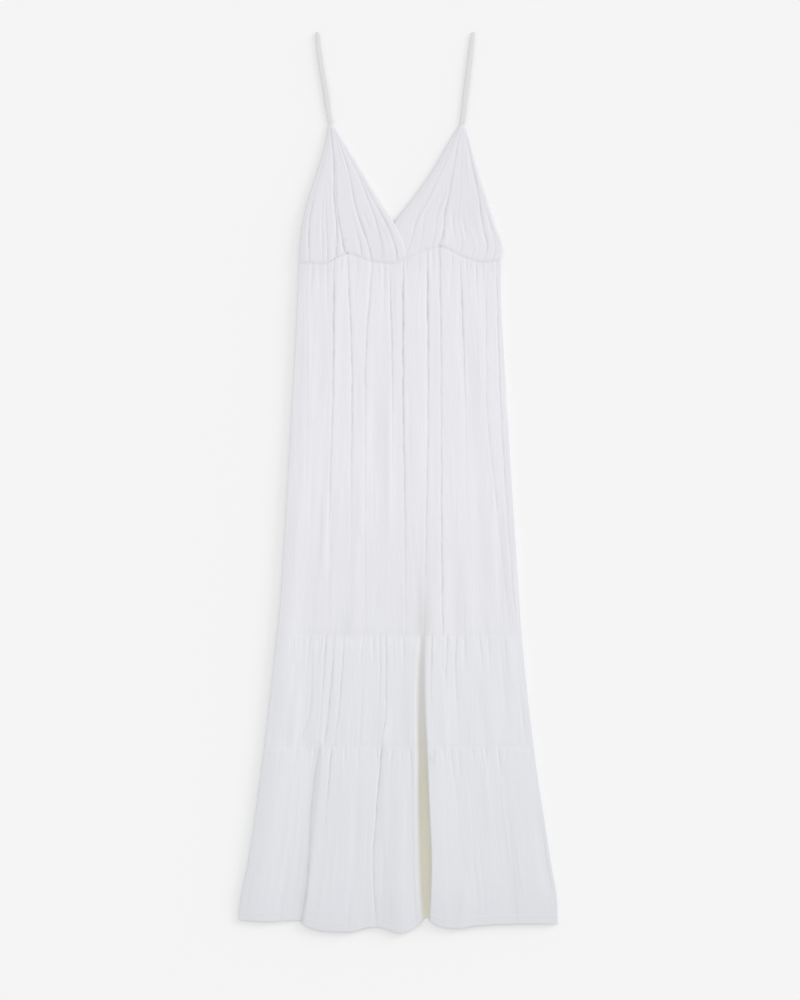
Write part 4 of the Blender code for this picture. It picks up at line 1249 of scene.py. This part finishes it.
def studio_light():
    """Light from all round, and the soft key."""
    world = bpy.data.worlds.new("studio")
    bpy.context.scene.world = world
    world.use_nodes = True
    fill(world.node_tree.nodes["Background"], {"Color": (1, 1, 1, 1), "Strength": AMBIENT})
    sun = bpy.data.lights.new("key", "SUN")
    sun.energy = KEY_STRENGTH
    sun.angle = math.radians(KEY_SOFTNESS)
    sun.color = KEY_WHITE
    lamp = bpy.data.objects.new("key", sun)
    bpy.context.scene.collection.objects.link(lamp)
    lamp.rotation_euler = (0.0, math.radians(90.0 - KEY_ELEVATION), math.radians(KEY_AZIMUTH))


def camera_above():
    """A camera that looks straight down, and frames the dress as the photograph does."""
    data = bpy.data.cameras.new("camera")
    data.lens = data.sensor_width * CAMERA_HEIGHT / (METRES_PER_PIXEL * PHOTO_HEIGHT)
    camera = bpy.data.objects.new("camera", data)
    bpy.context.scene.collection.objects.link(camera)
    camera.location = (*VIEW_CENTRE, CAMERA_HEIGHT)
    bpy.context.scene.camera = camera
    bpy.context.scene.view_settings.view_transform = "Standard"


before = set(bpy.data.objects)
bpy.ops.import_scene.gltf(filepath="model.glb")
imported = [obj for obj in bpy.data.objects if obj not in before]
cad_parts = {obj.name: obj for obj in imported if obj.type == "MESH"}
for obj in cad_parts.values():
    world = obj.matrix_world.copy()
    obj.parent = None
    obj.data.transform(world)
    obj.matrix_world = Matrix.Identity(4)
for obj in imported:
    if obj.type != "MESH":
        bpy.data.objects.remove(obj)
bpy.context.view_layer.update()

tier_1 = Tier(
    waist_y, straight_seam(TIER_2_Y), WAIST_REACH, TIER_1_CREASES, TIER_1_SWELLS, TIER_1_GATHERS,
    more_gathers=50, crinkles=150, seed=11, hollows=TIER_1_HOLLOWS,
)
tier_2 = Tier(
    straight_seam(TIER_2_Y), straight_seam(TIER_3_Y), SEAM_REACH, TIER_2_CREASES, TIER_2_SWELLS,
    TIER_2_GATHERS, more_gathers=44, crinkles=64, seed=23, recess=TIER_2_RECESS,
)
tier_3 = Tier(
    straight_seam(TIER_3_Y), front_hem_y, SEAM_REACH, TIER_3_CREASES, TIER_3_SWELLS, TIER_3_GATHERS,
    more_gathers=46, crinkles=76, seed=37, recess=TIER_3_RECESS, hollows=TIER_3_HOLLOWS,
)
waist_z = along_seam(tier_1.height(SEAM_X, np.array(0.0)) - WAIST_DIP)
seam_1_2_z, seam_2_3_z = seam_height(tier_1, tier_2), seam_height(tier_2, tier_3)
left_cup = Cup(LEFT_CUP_EDGES, LEFT_CUP_CREASES, swell=1.0, lift=over_the_right_cup, seed=41)
right_cup = Cup(RIGHT_CUP_EDGES, RIGHT_CUP_CREASES, swell=RIGHT_CUP_SWELL, lift=under_the_left_cup, seed=43)
sheets = {
    "tier_1_front": skirt_tier("tier_1_front_cloth", tier_1, waist_z, seam_1_2_z),
    "tier_2_front": skirt_tier("tier_2_front_cloth", tier_2, seam_1_2_z, seam_2_3_z),
    "tier_3_front": skirt_tier("tier_3_front_cloth", tier_3, seam_2_3_z, None),
    "cup_left": cloth_sheet("cup_left_cloth", *left_cup.grid(waist_z)),
    "cup_right": cloth_sheet("cup_right_cloth", *right_cup.grid(waist_z)),
}
for node_name, row in BACKS.items():
    sheets[node_name] = back_sheet(f"{node_name}_cloth", *row)
for node_name, row in STRAPS.items():
    sheets[node_name] = strap(f"{node_name}_cloth", *row)

weave_group = gauze_weave_group()
shade_and_white_group = cloth_white_and_shade_group()
for node_name, piece in sheets.items():
    finish = GAUZE_FINISHES[node_name.rsplit("_", 1)[0]]
    piece.data.materials.append(gauze_material(f"{node_name}_gauze", weave_group, shade_and_white_group, *finish))
    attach(piece, "root")
    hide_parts(node_name)

# Stitches: along the hem, down both sides of each cup, and across the end of each strap.
hem_row = -HEM_ADDED_ROWS - 1 - round(HEM_DEPTH / FINE_ROW_STEP)
hem_path = along_row(sheets["tier_3_front"], hem_row, *HEM_STITCHES)
sewn = {"tier_3_front": [stitches("hem_stitches", hem_path)]}
for node_name in ("cup_left", "cup_right"):
    cup = sheets[node_name]
    sewn[node_name] = [
        stitches(f"{node_name}_left_stitches", along_side(cup, 1, CUP_HEM)),
        stitches(f"{node_name}_right_stitches", along_side(cup, -1, CUP_HEM)),
        stitches(f"{node_name}_tack", along_row(cup, TACK_ROW, *TACK_STITCHES)),
    ]
thread = thread_material("sewing_thread")
for rows in sewn.values():
    for row in rows:
        row.data.materials.append(thread)
        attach(row, "root")

grey_floor()
studio_light()
camera_above()
